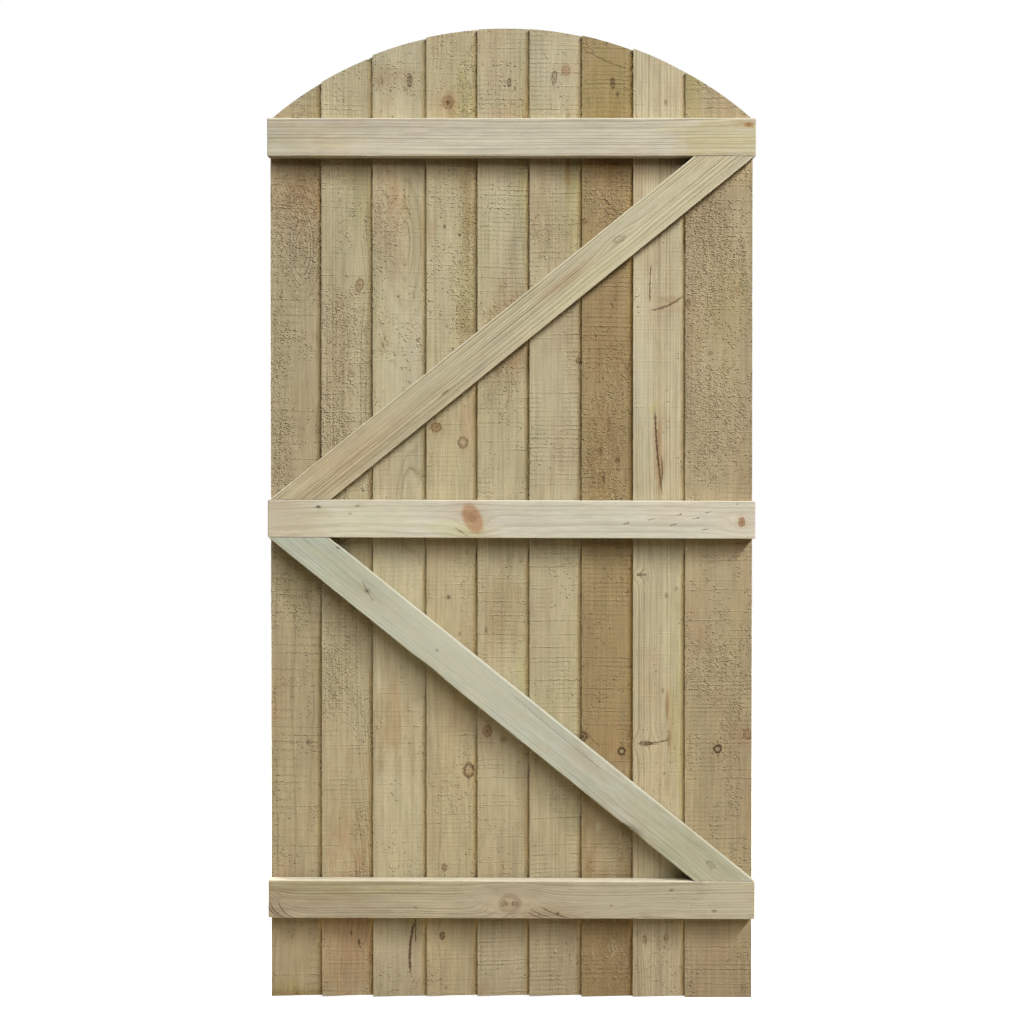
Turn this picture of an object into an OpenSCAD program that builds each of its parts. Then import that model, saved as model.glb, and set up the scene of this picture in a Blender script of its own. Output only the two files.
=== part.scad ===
// Closeboard garden gate leaf with an arched top.
// Feather-edge boards lap sideways across three ledges, and two braces are cut in between the ledges.
// X runs along the ledges from the hinge side, Y from the ledges' outer faces to the boards, and Z up.
// The origin is the middle of the lower hinge's seat, on the outer face of the bottom ledge.

/* [Leaf] */
// Height of the leaf at the crown of the arch
leaf_h = 1802; // [1500:1:2160]
// Height of the arch above its springing
arch_rise = 169; // [120:1:220]
// Length of the ledges, which is the width of the leaf
ledge_l = 900; // [750:10:1080]

/* [Boards] */
// Number of feather-edge boards across the leaf
board_count = 9; // [9:1:11]
// Width of each board
board_w = 125; // [105:1:150]
// Thickness of a board at its thin edge
thin_t = 8; // [6:0.5:9]
// Thickness of a board at its thick edge
thick_t = 12; // [10:0.5:15]
// How far the outer boards stop short of each ledge end
board_inset = 2; // [1:0.5:10]
// Clearance where one board rests on the next
lap_gap = 0.1; // [0.05:0.05:0.3]

/* [Ledges and braces] */
// Width of the ledges' outer faces
ledge_w = 70; // [58:1:84]
// Depth of the ledges and braces, from their outer faces to the boards
ledge_t = 34; // [28:1:41]
// Width of the braces' outer faces
brace_w = 70; // [58:1:84]
// Radius of the eased edges on the planed timber
arris_r = 2; // [1:0.5:4]
// Height of the boards left clear below the bottom ledge
bottom_margin = 152; // [100:1:200]
// Height of the boards' sides left clear above the top ledge
top_margin = 3; // [1:1:20]
// Clearance between a brace's cut end and the ledge
brace_gap = 0.2; // [0.1:0.1:0.5]
// How far the middle and bottom ledges dip towards the latch side, in degrees
ledge_dip = 0.19; // [0:0.01:0.3]

/* [Hinge seats] */
// Distance from the ledges' hinge-side end to the middle of a hinge seat
seat_in = 35; // [20:1:80]

/* [Hidden] */
$fn = 96;

// Boards laid by hand aren't quite even. For each board: how far its thin edge lies from its even
// place, how far its foot hangs below the lowest even line, and how far its top stands off the arch
lay_shift = [0, -2, -3, 0.5, -1, -0.5, 0.5, -0.5, 0];
foot_drop = [0, 0, 1, 0, 0, 0, 1, 1, 2];
arch_shift = [-0.9, -1.2, 0.7, 1, 0, -1.1, -1.3, 1.1, -0.3];

// Places across the leaf
ledge_x = -seat_in;
boards_x = ledge_x + board_inset;
boards_w = ledge_l - 2 * board_inset;
mid_x = boards_x + boards_w / 2;
pitch = (boards_w - board_w) / (board_count - 1);

// Heights, from the middle of the bottom ledge
boards_z = -ledge_w / 2 - bottom_margin;
crown_z = boards_z + leaf_h;
springing_z = crown_z - arch_rise;
top_ledge_z = springing_z - top_margin - ledge_w / 2;
middle_ledge_z = top_ledge_z / 2;
arch_r = (pow(boards_w / 2, 2) + pow(arch_rise, 2)) / (2 * arch_rise);

// A brace fills the clear height between two ledges, with its tips at the boards' outer edges
clear_h = middle_ledge_z - ledge_w;
brace_angle = atan2(clear_h, boards_w) + asin(brace_w / norm([boards_w, clear_h]));
brace_cut = brace_w / sin(brace_angle);

// Height at x of a ledge's upper edge (side = 1) or lower edge (side = -1)
function ledge_line(x, z, dip, side) =
    z + side * ledge_w / 2 / cos(dip) - (x - mid_x) * tan(dip);

// The slope of a board's front face against its back
taper_angle = atan2(thick_t - thin_t, board_w);

// Room past a cut, so that no two cutting faces meet in one plane
over = 50;

// Board i's own value from a list like those above
function laid(list, i) = list[(i - 1) % len(list)];

// Where board i's thin edge meets the ledges. Board 1 is at the hinge side.
function thin_edge(i) = [boards_x + (i - 1) * pitch + laid(lay_shift, i), ledge_t];

// The front corner of board i's thin edge
function front_corner(i) = thin_edge(i) + thin_t * [-sin(lap_angle(i)), cos(lap_angle(i))];

// How far board i leans off the ledges. The last board lies flat, and each other one leans on the
// next, on the front corner of its thin edge or with its own back corner on the next one's front face.
function lap_angle(i) =
    i == board_count ? 0 : max(lean_on_corner(i), lean_on_face(i));

// The lean at which board i's back face just clears the next board's front corner
function lean_on_corner(i) =
    let (reach = front_corner(i + 1) - thin_edge(i))
    atan2(reach.y, reach.x) + asin(lap_gap / norm(reach));

// The lean at which board i's back corner just clears the next board's front face
function lean_on_face(i) =
    let (
        face_angle = lap_angle(i + 1) + taper_angle,
        reach = front_corner(i + 1) - thin_edge(i),
        height = reach * [-sin(face_angle), cos(face_angle)]
    )
    face_angle + asin((height + lap_gap) / board_w);

// Section of a feather-edge board: the thin edge at x = 0 and the back face along y = 0
module feather_edge_section() {
    polygon([[0, 0], [board_w, 0], [board_w, thick_t], [0, thin_t]]);
}

// What the arch saw leaves: all below the springing, and the arc above it
module arch_outline() {
    translate([0, ledge_t + over, 0])
        rotate([90, 0, 0])
            linear_extrude(height = ledge_t + 2 * over) {
                translate([boards_x - over, boards_z - over])
                    square([boards_w + 2 * over, springing_z - boards_z + over]);
                translate([mid_x, crown_z - arch_r])
                    circle(r = arch_r);
            }
}

// Section of planed timber, with its four long edges eased
module eased_section(depth, width) {
    translate([arris_r, -width / 2])
        square([depth - 2 * arris_r, width]);
    translate([0, arris_r - width / 2])
        square([depth, width - 2 * arris_r]);
    for (x = [arris_r, depth - arris_r], y = [-1, 1] * (width / 2 - arris_r))
        translate([x, y])
            circle(r = arris_r, $fn = 24);
}

// A planed bar along X from the origin, with its outer face on y = 0
module planed_bar(length, width) {
    rotate([90, 0, 90])
        linear_extrude(height = length)
            eased_section(ledge_t, width);
}

module board(i) {
    edge = thin_edge(i);
    foot_z = boards_z - laid(foot_drop, i);
    color("#b09f78")
        intersection() {
            translate([edge.x, edge.y, foot_z])
                rotate(lap_angle(i))
                    linear_extrude(height = leaf_h + over)
                        feather_edge_section();
            translate([0, 0, laid(arch_shift, i)])
                arch_outline();
        }
}

// A ledge whose middle is at height z, and which dips towards the latch side
module ledge(z, dip) {
    color("#cbc29d")
        translate([mid_x, 0, z])
            rotate([0, dip, 0])
                translate([-ledge_l / 2, 0, 0])
                    planed_bar(ledge_l, ledge_w);
}

module top_ledge() {
    ledge(top_ledge_z, 0);
}

module middle_ledge() {
    ledge(middle_ledge_z, ledge_dip);
}

module bottom_ledge() {
    ledge(0, ledge_dip);
}

// An uncut brace that climbs from the hinge side, and crosses z = 0 where its foot will be
module brace_blank() {
    blank_l = norm([boards_w, clear_h]) + 2 * brace_w;
    translate([boards_x + brace_cut / 2, 0, 0])
        rotate([0, -brace_angle, 0])
            translate([-brace_w, 0, 0])
                planed_bar(blank_l, brace_w);
}

// The room between two ledges for a brace, across the width of the boards
module brace_room(low_z, low_dip, high_z, high_dip) {
    x = [boards_x, boards_x + boards_w];
    low = [for (i = [0, 1]) [x[i], ledge_line(x[i], low_z, low_dip, 1) + brace_gap]];
    high = [for (i = [1, 0]) [x[i], ledge_line(x[i], high_z, high_dip, -1) - brace_gap]];
    translate([0, ledge_t + over, 0])
        rotate([90, 0, 0])
            linear_extrude(height = ledge_t + 2 * over)
                polygon(concat(low, high));
}

module upper_brace() {
    color("#c6c0a0")
        intersection() {
            translate([0, 0, middle_ledge_z + ledge_w / 2])
                brace_blank();
            brace_room(middle_ledge_z, ledge_dip, top_ledge_z, 0);
        }
}

module lower_brace() {
    color("#c6c0a0")
        intersection() {
            translate([0, 0, middle_ledge_z - ledge_w / 2])
                mirror([0, 0, 1])
                    brace_blank();
            brace_room(0, ledge_dip, middle_ledge_z, ledge_dip);
        }
}

for (i = [1:board_count])
    board(i);
top_ledge();
middle_ledge();
bottom_ledge();
upper_brace();
lower_brace();
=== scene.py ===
"""Looks of an arched closeboard garden gate: sawn boards, planed ledges and braces, nails and stage."""

import math
from collections import namedtuple

import bpy
import numpy as np
from bpy.props import FloatProperty, FloatVectorProperty, IntProperty, PointerProperty
from mathutils import Matrix, Vector


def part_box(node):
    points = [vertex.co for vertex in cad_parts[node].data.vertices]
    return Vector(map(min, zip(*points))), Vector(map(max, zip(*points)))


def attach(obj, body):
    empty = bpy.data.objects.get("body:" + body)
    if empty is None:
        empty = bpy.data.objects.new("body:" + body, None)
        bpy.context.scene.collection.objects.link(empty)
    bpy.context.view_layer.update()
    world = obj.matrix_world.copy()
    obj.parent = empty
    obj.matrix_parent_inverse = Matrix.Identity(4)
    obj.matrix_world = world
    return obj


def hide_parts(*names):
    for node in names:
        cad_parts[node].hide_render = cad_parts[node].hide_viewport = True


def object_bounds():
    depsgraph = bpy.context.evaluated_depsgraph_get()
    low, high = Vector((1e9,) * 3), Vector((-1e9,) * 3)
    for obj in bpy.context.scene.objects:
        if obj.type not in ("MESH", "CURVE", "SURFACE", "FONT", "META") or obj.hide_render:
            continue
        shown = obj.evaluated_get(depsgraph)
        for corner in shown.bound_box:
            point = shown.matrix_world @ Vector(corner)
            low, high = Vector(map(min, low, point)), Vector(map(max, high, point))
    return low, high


bl_info = {
    "name": "Arched garden gate",
    "version": (1, 0, 0),
    "blender": (4, 5, 0),
    "location": "3D View > Sidebar > Gate",
    "description": "Dresses the arched gate leaf in sawn and planed softwood",
    "category": "Add Mesh",
}

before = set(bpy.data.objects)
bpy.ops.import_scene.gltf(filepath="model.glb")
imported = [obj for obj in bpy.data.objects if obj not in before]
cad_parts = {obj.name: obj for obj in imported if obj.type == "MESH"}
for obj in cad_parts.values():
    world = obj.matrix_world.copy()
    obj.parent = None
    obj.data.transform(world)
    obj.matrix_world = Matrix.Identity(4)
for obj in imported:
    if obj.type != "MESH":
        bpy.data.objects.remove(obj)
CAD_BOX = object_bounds()

MM = 0.001
BOARDS = sorted(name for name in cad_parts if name.startswith("board_"))
LEDGES = ["top_ledge", "middle_ledge", "bottom_ledge"]
BRACES = ["upper_brace", "lower_brace"]


def marks(kind, rows):
    """A look's rows as marks of one kind."""
    return [kind(*row) for row in rows]


def colour(code):
    """The linear colour of a six-figure hex code."""
    parts = [int(code[i : i + 2], 16) / 255 for i in (1, 3, 5)]
    return tuple(c / 12.92 if c <= 0.04045 else ((c + 0.055) / 1.055) ** 2.4 for c in parts)


# ---------------------------------------------------------------------------
# What each timber is like. Places on a board are (across, up) in millimetres: across from its thin
# edge, up from its foot. Places on a ledge or brace are (across, along): across from its upper
# edge, along from its hinge-side end.
# ---------------------------------------------------------------------------

# The centre of the tree that a timber was cut from: where it lies across and behind the face, how
# fast it slopes away along the timber, how far it wanders, and the width of a year's ring
Heart = namedtuple("Heart", "across depth slope wander ring")

# A knot: its place, its radius, how many times longer than wide it is, how dark its ring and its
# heart are, how reddened its wood is, and how far it slants along the grain
Knot = namedtuple("Knot", "across along radius stretch rim heart red lean", defaults=(0.6, 0.3, 0.3, 0.0))

# A swell in the year rings: its place, its half width and half length, and how many rings high it is
Figure = namedtuple("Figure", "across along wide long rings")

# A soft patch: its place, its half width and half length, and its strength
Patch = namedtuple("Patch", "across along wide long strength")

# A narrow crack or line of resin from one place to another, how far it bows, its half width and tone
Crack = namedtuple("Crack", "across along to_across to_along bow wide tone")

# A dent or torn notch in the outer face: its place, its half width and half length, and its depth
Dent = namedtuple("Dent", "across along wide long deep")

# A timber's look: its two tones, its heart, how strongly its rings, saw marks and torn fibres show,
# the space between its saw marks, how strongly its arrises and upper face are lightened, partly as
# wear and partly as painted highlight, and then what marks it, as rows of Knot, Figure, Patch
# (torn to bleached), Crack and Dent
Look = namedtuple(
    "Look",
    "pale late heart rings saw fuzz pitch bleach knots figures torn warm green brown bleached cracks dents",
    defaults=(8.5, 0.8, (), (), (), (), (), (), (), (), ()),
)

BOARD_LOOKS = {
    "board_1": Look(
        "#aa9d7d", "#897654", Heart(60, 95, 0.006, 12, 6), rings=0.5, saw=1, fuzz=1.1, pitch=15,
        knots=[(19, 1303, 3, 2, 0.5, 0.2, 0.1), (69, 475, 3.5, 1.6, 0.6, 0.3, 0.4)],
        figures=[(58, 1395, 34, 110, 9)],
        torn=[(50, 1430, 70, 110, 1), (12, 1000, 26, 300, 0.7)],
        warm=[(58, 1480, 60, 80, 0.8), (58, 1009, 40, 140, 0.4), (9, 542, 12, 90, 0.7)],
        brown=[(62, 1506, 50, 60, 0.4), (62, 1620, 60, 50, 0.3), (32, 2, 80, 12, 0.5)],
        green=[(32, 8, 70, 22, 1)],
    ),
    "board_2": Look(
        "#b0a585", "#8f7e5c", Heart(150, 60, -0.006, 12, 5.6), rings=0.6, saw=0.7, fuzz=1,
        knots=[
            (71, 1326, 7, 1.5, 0.6, 0.5, 0.4, 0.4), (36, 1484, 3, 2, 0.6, 0.3, 0.1),
            (54, 117, 2.2, 2.4, 0.9), (69, 100, 2.6, 2.2, 0.95), (71, 90, 1.6, 1.2, 0.7),
        ],
        figures=[(66, 230, 24, 120, 5)],
        torn=[(30, 1063, 40, 120, 1), (34, 592, 34, 70, 1), (40, 1260, 60, 60, 0.9)],
        green=[(80, 1500, 40, 120, 0.5)],
        warm=[(60, 130, 80, 170, 1.2), (60, 760, 60, 120, 0.4)],
        brown=[(50, 335, 50, 90, 0.3), (50, 80, 70, 90, 0.25)],
    ),
    "board_3": Look(
        "#b4aa8b", "#918161", Heart(64, 110, 0.004, 8, 6), rings=0.95, saw=0.4, fuzz=0.6,
        knots=[
            (69, 1706, 3.6, 2.8, 0.9, 0.8, 0.2), (60, 1691, 3, 2, 0.5, 0.2, 0.2), (7, 1689, 2, 1.5, 0.5),
            (47, 1306, 2.6, 1.2, 1, 0, 0.1), (84, 1225, 3, 1.5, 0.5), (56, 1205, 2.5, 1.5, 0.4),
        ],
        figures=[(60, 1405, 26, 120, 6), (68, 930, 22, 90, 2)],
        torn=[(18, 1460, 24, 130, 1), (30, 1720, 50, 60, 0.7), (20, 1240, 20, 60, 0.5)],
        warm=[(40, 1480, 34, 60, 0.9), (85, 60, 20, 110, 0.4)],
        brown=[
            (34, 1490, 22, 40, 0.35), (55, 1400, 60, 110, 0.25), (35, 505, 36, 80, 0.55),
            (30, 1715, 60, 22, 0.35),
        ],
        bleached=[(55, 1230, 60, 130, 0.35), (50, 720, 40, 50, 0.1), (40, 80, 60, 70, 0.35)],
        cracks=[(78, 142, 71, 34, 6, 3.2, 1), (79, 150, 79, 96, 0, 1.8, 0.8)],
    ),
    "board_4": Look(
        "#b3a785", "#8f7e5c", Heart(-60, 70, 0.006, 10, 7.5), rings=0.5, saw=0.5, fuzz=0.8,
        knots=[
            (40, 1665, 10, 1.1, 0.35, 0.7, 0.45), (34, 1434, 3, 1.2, 0.35, 0.9, 0),
            (62, 1419, 3, 1.2, 0.5, 0.9, 0), (62, 1370, 3, 1.5, 0.4, 0.9, 0),
            (38, 1249, 2.5, 1.2, 0.3, 0.6, 0), (49, 1207, 2.5, 1.3, 0.3, 0.8, 0),
            (18, 1061, 9, 0.9, 0.6, 0.5, 0.6), (68, 1033, 8.5, 1.1, 0.6, 0), (42, 745, 3.5, 1.2, 0.8),
            (62, 676, 3.5, 1.2, 0.5), (79, 421, 9, 1.4, 0.8, 0.1, 0.4), (33, 240, 4, 1.5, 0.9, 0.5),
            (29, 112, 4.2, 1.4, 1, 1), (36, 15, 3, 1.2),
        ],
        torn=[(78, 1650, 22, 130, 1), (76, 1330, 24, 170, 1)],
        green=[(72, 1640, 26, 110, 0.9), (74, 1330, 22, 150, 0.7)],
        brown=[(80, 1480, 18, 120, 0.5), (76, 1250, 20, 60, 0.4), (10, 1425, 12, 25, 0.4)],
        warm=[(80, 1080, 24, 70, 0.8), (75, 640, 30, 80, 0.6), (40, 1665, 24, 34, 1)],
        bleached=[(26, 1340, 34, 200, 0.25), (77, 425, 4, 6, 0.8), (68, 1033, 3, 3, 0.8)],
    ),
    "board_5": Look(
        "#b1a686", "#8e7e5d", Heart(-40, 60, 0.004, 6, 5), rings=0.6, saw=1, fuzz=0.5,
        knots=[
            (59, 1702, 4, 1.6, 1, 0.8, 0.1), (70, 1691, 2.6, 2.2, 0.8), (16, 683, 3, 2.6, 0.7),
            (18, 495, 8, 1.2, 0.5, 0.6, 0.5), (49, 479, 5, 1, 0.35, 0.5, 0.4), (10, 1735, 2, 1.2),
        ],
        figures=[(92, 1400, 34, 130, 6)],
        warm=[(62, 1642, 40, 20, 0.9), (10, 13, 20, 10, 1), (20, 470, 40, 60, 0.6)],
        green=[(85, 1560, 20, 160, 0.8), (85, 590, 14, 60, 0.8)],
        torn=[(40, 1200, 44, 130, 0.6)],
        bleached=[(45, 1470, 40, 120, 0.3), (50, 510, 60, 110, 0.55), (50, 60, 60, 70, 0.5)],
        brown=[(50, 1220, 50, 90, 0.6), (45, 725, 50, 80, 0.4)],
    ),
    "board_6": Look(
        "#b0a586", "#8d7d5c", Heart(170, 60, 0.003, 7, 5.5), rings=0.5, saw=1, fuzz=0.45,
        knots=[
            (68, 1724, 7, 1.2, 0.3, 0.3, 0.35), (46, 1711, 5, 2, 0.7, 0.3, 0.2, 0.5),
            (92, 1186, 4, 1.5, 0.8), (38, 985, 2, 1.5, 0.7), (8, 1041, 2.5, 1.3),
        ],
        warm=[(66, 1727, 20, 16, 1), (61, 1028, 34, 70, 0.6), (20, 1460, 24, 90, 0.5)],
        brown=[(72, 1570, 6, 100, 0.7), (80, 1240, 16, 100, 0.3), (50, 1410, 60, 110, 0.2)],
        green=[(84, 1500, 18, 130, 0.9)],
        bleached=[(40, 1720, 50, 60, 0.3), (40, 1120, 50, 150, 0.2)],
        torn=[(50, 1420, 50, 40, 0.7)],
    ),
    "board_7": Look(
        "#9b8862", "#715a34", Heart(120, 50, 0.005, 12, 5), rings=0.2, saw=0.9, fuzz=0.9,
        knots=[
            (58, 1702, 4, 2.2, 1, 0.9), (67, 1681, 3, 2, 0.7, 0.4), (4, 1445, 4, 1.3, 0.7),
            (34, 1017, 4, 1.5, 0.6, 0.5), (66, 1000, 4, 1, 0.6, 0.6, 0.2), (41, 968, 3.5, 2.2, 0.8, 0.6),
            (2, 486, 7, 1.2, 1, 1), (75, 458, 6.2, 1.05, 1.6, 0.3, 0.15),
        ],
        green=[(45, 1670, 60, 100, 0.9)],
        torn=[(45, 1020, 60, 190, 0.9), (45, 1500, 60, 90, 0.8), (60, 90, 60, 90, 0.45)],
        brown=[(55, 1590, 30, 90, 0.4), (36, 1010, 30, 120, 0.35), (50, 1210, 50, 90, 0.35)],
        warm=[(50, 440, 60, 90, 0.8), (60, 1380, 50, 160, 0.5)],
        bleached=[(30, 318, 7, 12, 0.9), (75, 458, 3.2, 3.2, 1), (50, 320, 60, 110, 0.5)],
        cracks=[
            (2, 1765, 88, 1728, 4, 1.2, 0.7), (34, 1505, 89, 1450, 9, 1.6, 0.7),
            (4, 500, 40, 462, 2, 1.2, 0.6),
        ],
    ),
    "board_8": Look(
        "#b9af90", "#988868", Heart(-70, 40, 0.002, 6, 6), rings=0.7, saw=0.3, fuzz=0.25,
        knots=[
            (61, 1666, 3.5, 1.4, 0.5), (15, 788, 8, 0.3, 1, 1, 0), (24, 473, 11, 0.3, 1, 1, 0.1),
            (82, 762, 3, 1.5, 0.5), (63, 749, 3, 1.4, 0.5), (56, 572, 3, 1.6, 0.5), (22, 106, 4, 1.6),
            (63, 110, 4, 1.3), (60, 91, 3.5, 1.3),
        ],
        warm=[
            (66, 1285, 34, 14, 1), (49, 1010, 16, 110, 1), (69, 514, 8, 90, 0.8), (40, 420, 50, 110, 0.4),
        ],
        brown=[
            (70, 1300, 30, 8, 0.5), (49, 990, 7, 90, 0.6), (65, 540, 4, 30, 0.8), (68, 480, 3.4, 26, 0.7),
            (66, 395, 3.4, 30, 0.4),
        ],
        green=[(40, 1098, 10, 14, 0.9), (80, 500, 14, 140, 0.7)],
        bleached=[(16, 1180, 24, 160, 0.4)],
        torn=[(50, 60, 60, 70, 0.9)],
        cracks=[
            (33, 1366, 31, 1290, 1, 1.4, 0.9), (41, 1096, 56, 930, 3, 2.6, 1),
            (53, 1010, 54, 960, -1, 1.4, 0.9), (29, 1280, 96, 1310, 7, 2.6, 0.75),
            (24, 474, 72, 481, 2, 1.5, 0.85), (22, 470, 52, 471, -1, 1.1, 0.6),
        ],
    ),
    "board_9": Look(
        "#a89979", "#877454", Heart(70, 120, 0.008, 10, 7), rings=0.2, saw=0.8, fuzz=1.15,
        knots=[
            (47, 1201, 4, 1, 0.35, 0.2, 0.1), (97, 1320, 5, 1.2, 0.3),
            (61, 464, 6.6, 1.05, 1.7, 0.3, 0.1), (117, 492, 7, 1.2, 0.45, 0.2, 0.25), (5, 1295, 4, 1.6),
        ],
        torn=[(45, 1090, 70, 110, 1), (40, 1380, 70, 150, 1), (60, 620, 60, 80, 0.7)],
        bleached=[(61, 464, 3.2, 3.2, 1)],
        green=[(12, 1690, 20, 80, 0.9), (80, 1280, 50, 120, 0.6)],
        warm=[
            (90, 1690, 50, 60, 0.5), (110, 900, 24, 220, 0.5), (110, 486, 26, 26, 0.8),
            (30, 1460, 40, 60, 0.5),
        ],
    ),
}

PLANED_LOOKS = {
    "top_ledge": Look(
        "#c7bfab", "#a3967b", Heart(-130, 60, 0.004, 5, 6), rings=0.5, saw=0, fuzz=0.05,
        knots=[(13, 887, 4, 2, 0.15, 0.5, 0.9), (11, 700, 2, 2, 0.4)],
        bleached=[(35, 520, 50, 130, 0.5)],
        green=[(40, 100, 40, 120, 0.5), (40, 850, 60, 120, 1)],
        warm=[(40, 830, 50, 90, 0.5)],
    ),
    "middle_ledge": Look(
        "#cec9b6", "#b0a587", Heart(95, 120, 0.004, 7, 5), rings=0.34, saw=0, fuzz=0.05,
        knots=[
            (13, 93, 3.5, 1.5, 0.9, 0.9, 0), (12, 165, 3, 1.8, 0.5, 0.5, 0),
            (26, 152, 2.5, 1.5, 0.4, 0.4, 0), (34, 378, 24, 0.66, 0.1, 0.25, 0.85, 0.3),
            (6, 866, 2.5, 1.4, 0.5, 0.5), (39, 875, 7.5, 0.75, 0.5, 0.7, 0.9),
        ],
        green=[(58, 350, 20, 50, 0.9), (40, 160, 40, 120, 0.4)],
        brown=[(35, 30, 60, 80, 0.4)],
        bleached=[(30, 240, 40, 120, 0.15)],
        warm=[(30, 860, 40, 60, 0.4)],
        cracks=[
            (50, 344, 68, 372, 1, 1.5, 0.6), (44, 655, 40, 668, 1, 1.1, 0.7),
            (36, 700, 32, 716, 1, 1.1, 0.7), (27, 752, 24, 766, 1, 1.1, 0.7),
            (46, 742, 42, 757, 1, 1.1, 0.7), (34, 783, 30, 798, 1, 1.1, 0.7),
            (22, 806, 19, 819, 1, 1.1, 0.7), (54, 800, 50, 815, 1, 1.1, 0.6),
        ],
    ),
    "bottom_ledge": Look(
        "#aaa189", "#89795d", Heart(-70, 60, 0.004, 9, 4.6), rings=0.55, saw=0, fuzz=0.1,
        knots=[
            (50, 272, 3.2, 1.6, 0.5, 0, 0.1), (43, 437, 4.5, 1.2, 0.7, 0.6),
            (43, 457, 4.5, 1.2, 0.7, 0.6), (43, 447, 16, 1.1, 0.25, 0, 0.2), (46, 635, 2.4, 1.6),
            (17, 746, 2.6, 2), (55, 825, 2.8, 1.6), (60, 536, 3.2, 1.2, 0.7),
        ],
        figures=[
            (68, -4, 27, 34, 8), (22, 0, 11, 22, 3), (43, 447, 26, 46, 5), (70, 520, 20, 56, 5),
            (62, 700, 18, 70, 2),
        ],
        warm=[(45, 480, 40, 130, 0.7), (45, 20, 50, 50, 0.6)],
        bleached=[(30, 640, 60, 300, 0.5), (30, 860, 60, 90, 0.7)],
        brown=[(66, 520, 20, 60, 0.4)],
        green=[(15, 130, 24, 200, 0.6)],
        cracks=[
            (72, 30, 42, -2, -7, 1.8, 0.8), (72, 42, 38, 2, -9, 1.8, 0.8), (72, 56, 34, 16, -9, 1.6, 0.7),
            (52, 482, 72, 545, 4, 1.6, 0.7), (46, 500, 72, 575, 5, 1.6, 0.7),
            (58, 478, 72, 518, 2, 1.5, 0.65),
        ],
    ),
    "upper_brace": Look(
        "#c6bd9f", "#a0926e", Heart(-90, 50, 0.003, 4, 4.4), rings=0.75, saw=0, fuzz=0.05,
        knots=[(32, 805, 6, 1.5, 0.4, 0.2, 0.1, 0.5), (50, 380, 2, 5)],
        warm=[(30, 690, 14, 80, 0.9), (25, 130, 40, 110, 0.5)],
        brown=[(30, 695, 8, 60, 0.3), (35, 170, 60, 260, 0.3)],
        green=[(50, 780, 30, 160, 0.5)],
        bleached=[(15, 330, 16, 160, 0.5), (35, 800, 60, 150, 0.6)],
    ),
    "lower_brace": Look(
        "#babdad", "#9b9a85", Heart(130, 60, 0.003, 6, 5.6), rings=0.32, saw=0, fuzz=0.05, bleach=0.3,
        knots=[
            (4, 24, 3, 1.8, 0.7), (32, 116, 4, 1.1, 0.45, 1, 0), (36, 285, 3.5, 1.2, 0.2, 0.55, 0),
            (27, 929, 5, 1.8, 0.4, 0.2, 0),
        ],
        bleached=[(35, 300, 60, 260, 0.8)],
        green=[(35, 80, 60, 120, 0.5), (35, 900, 60, 160, 0.5)],
        brown=[(35, 900, 60, 360, 0.4)],
        cracks=[
            (22, 96, 33, 118, 1, 1, 0.6), (31, 114, 40, 138, 1, 1, 0.6), (12, 420, 16, 700, 2, 0.7, 0.4),
        ],
        dents=[(72, 777, 6, 16, 7), (70, 300, 2, 30, 1.5)],
    ),
}

# ---------------------------------------------------------------------------
# Shader node groups
# ---------------------------------------------------------------------------


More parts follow.
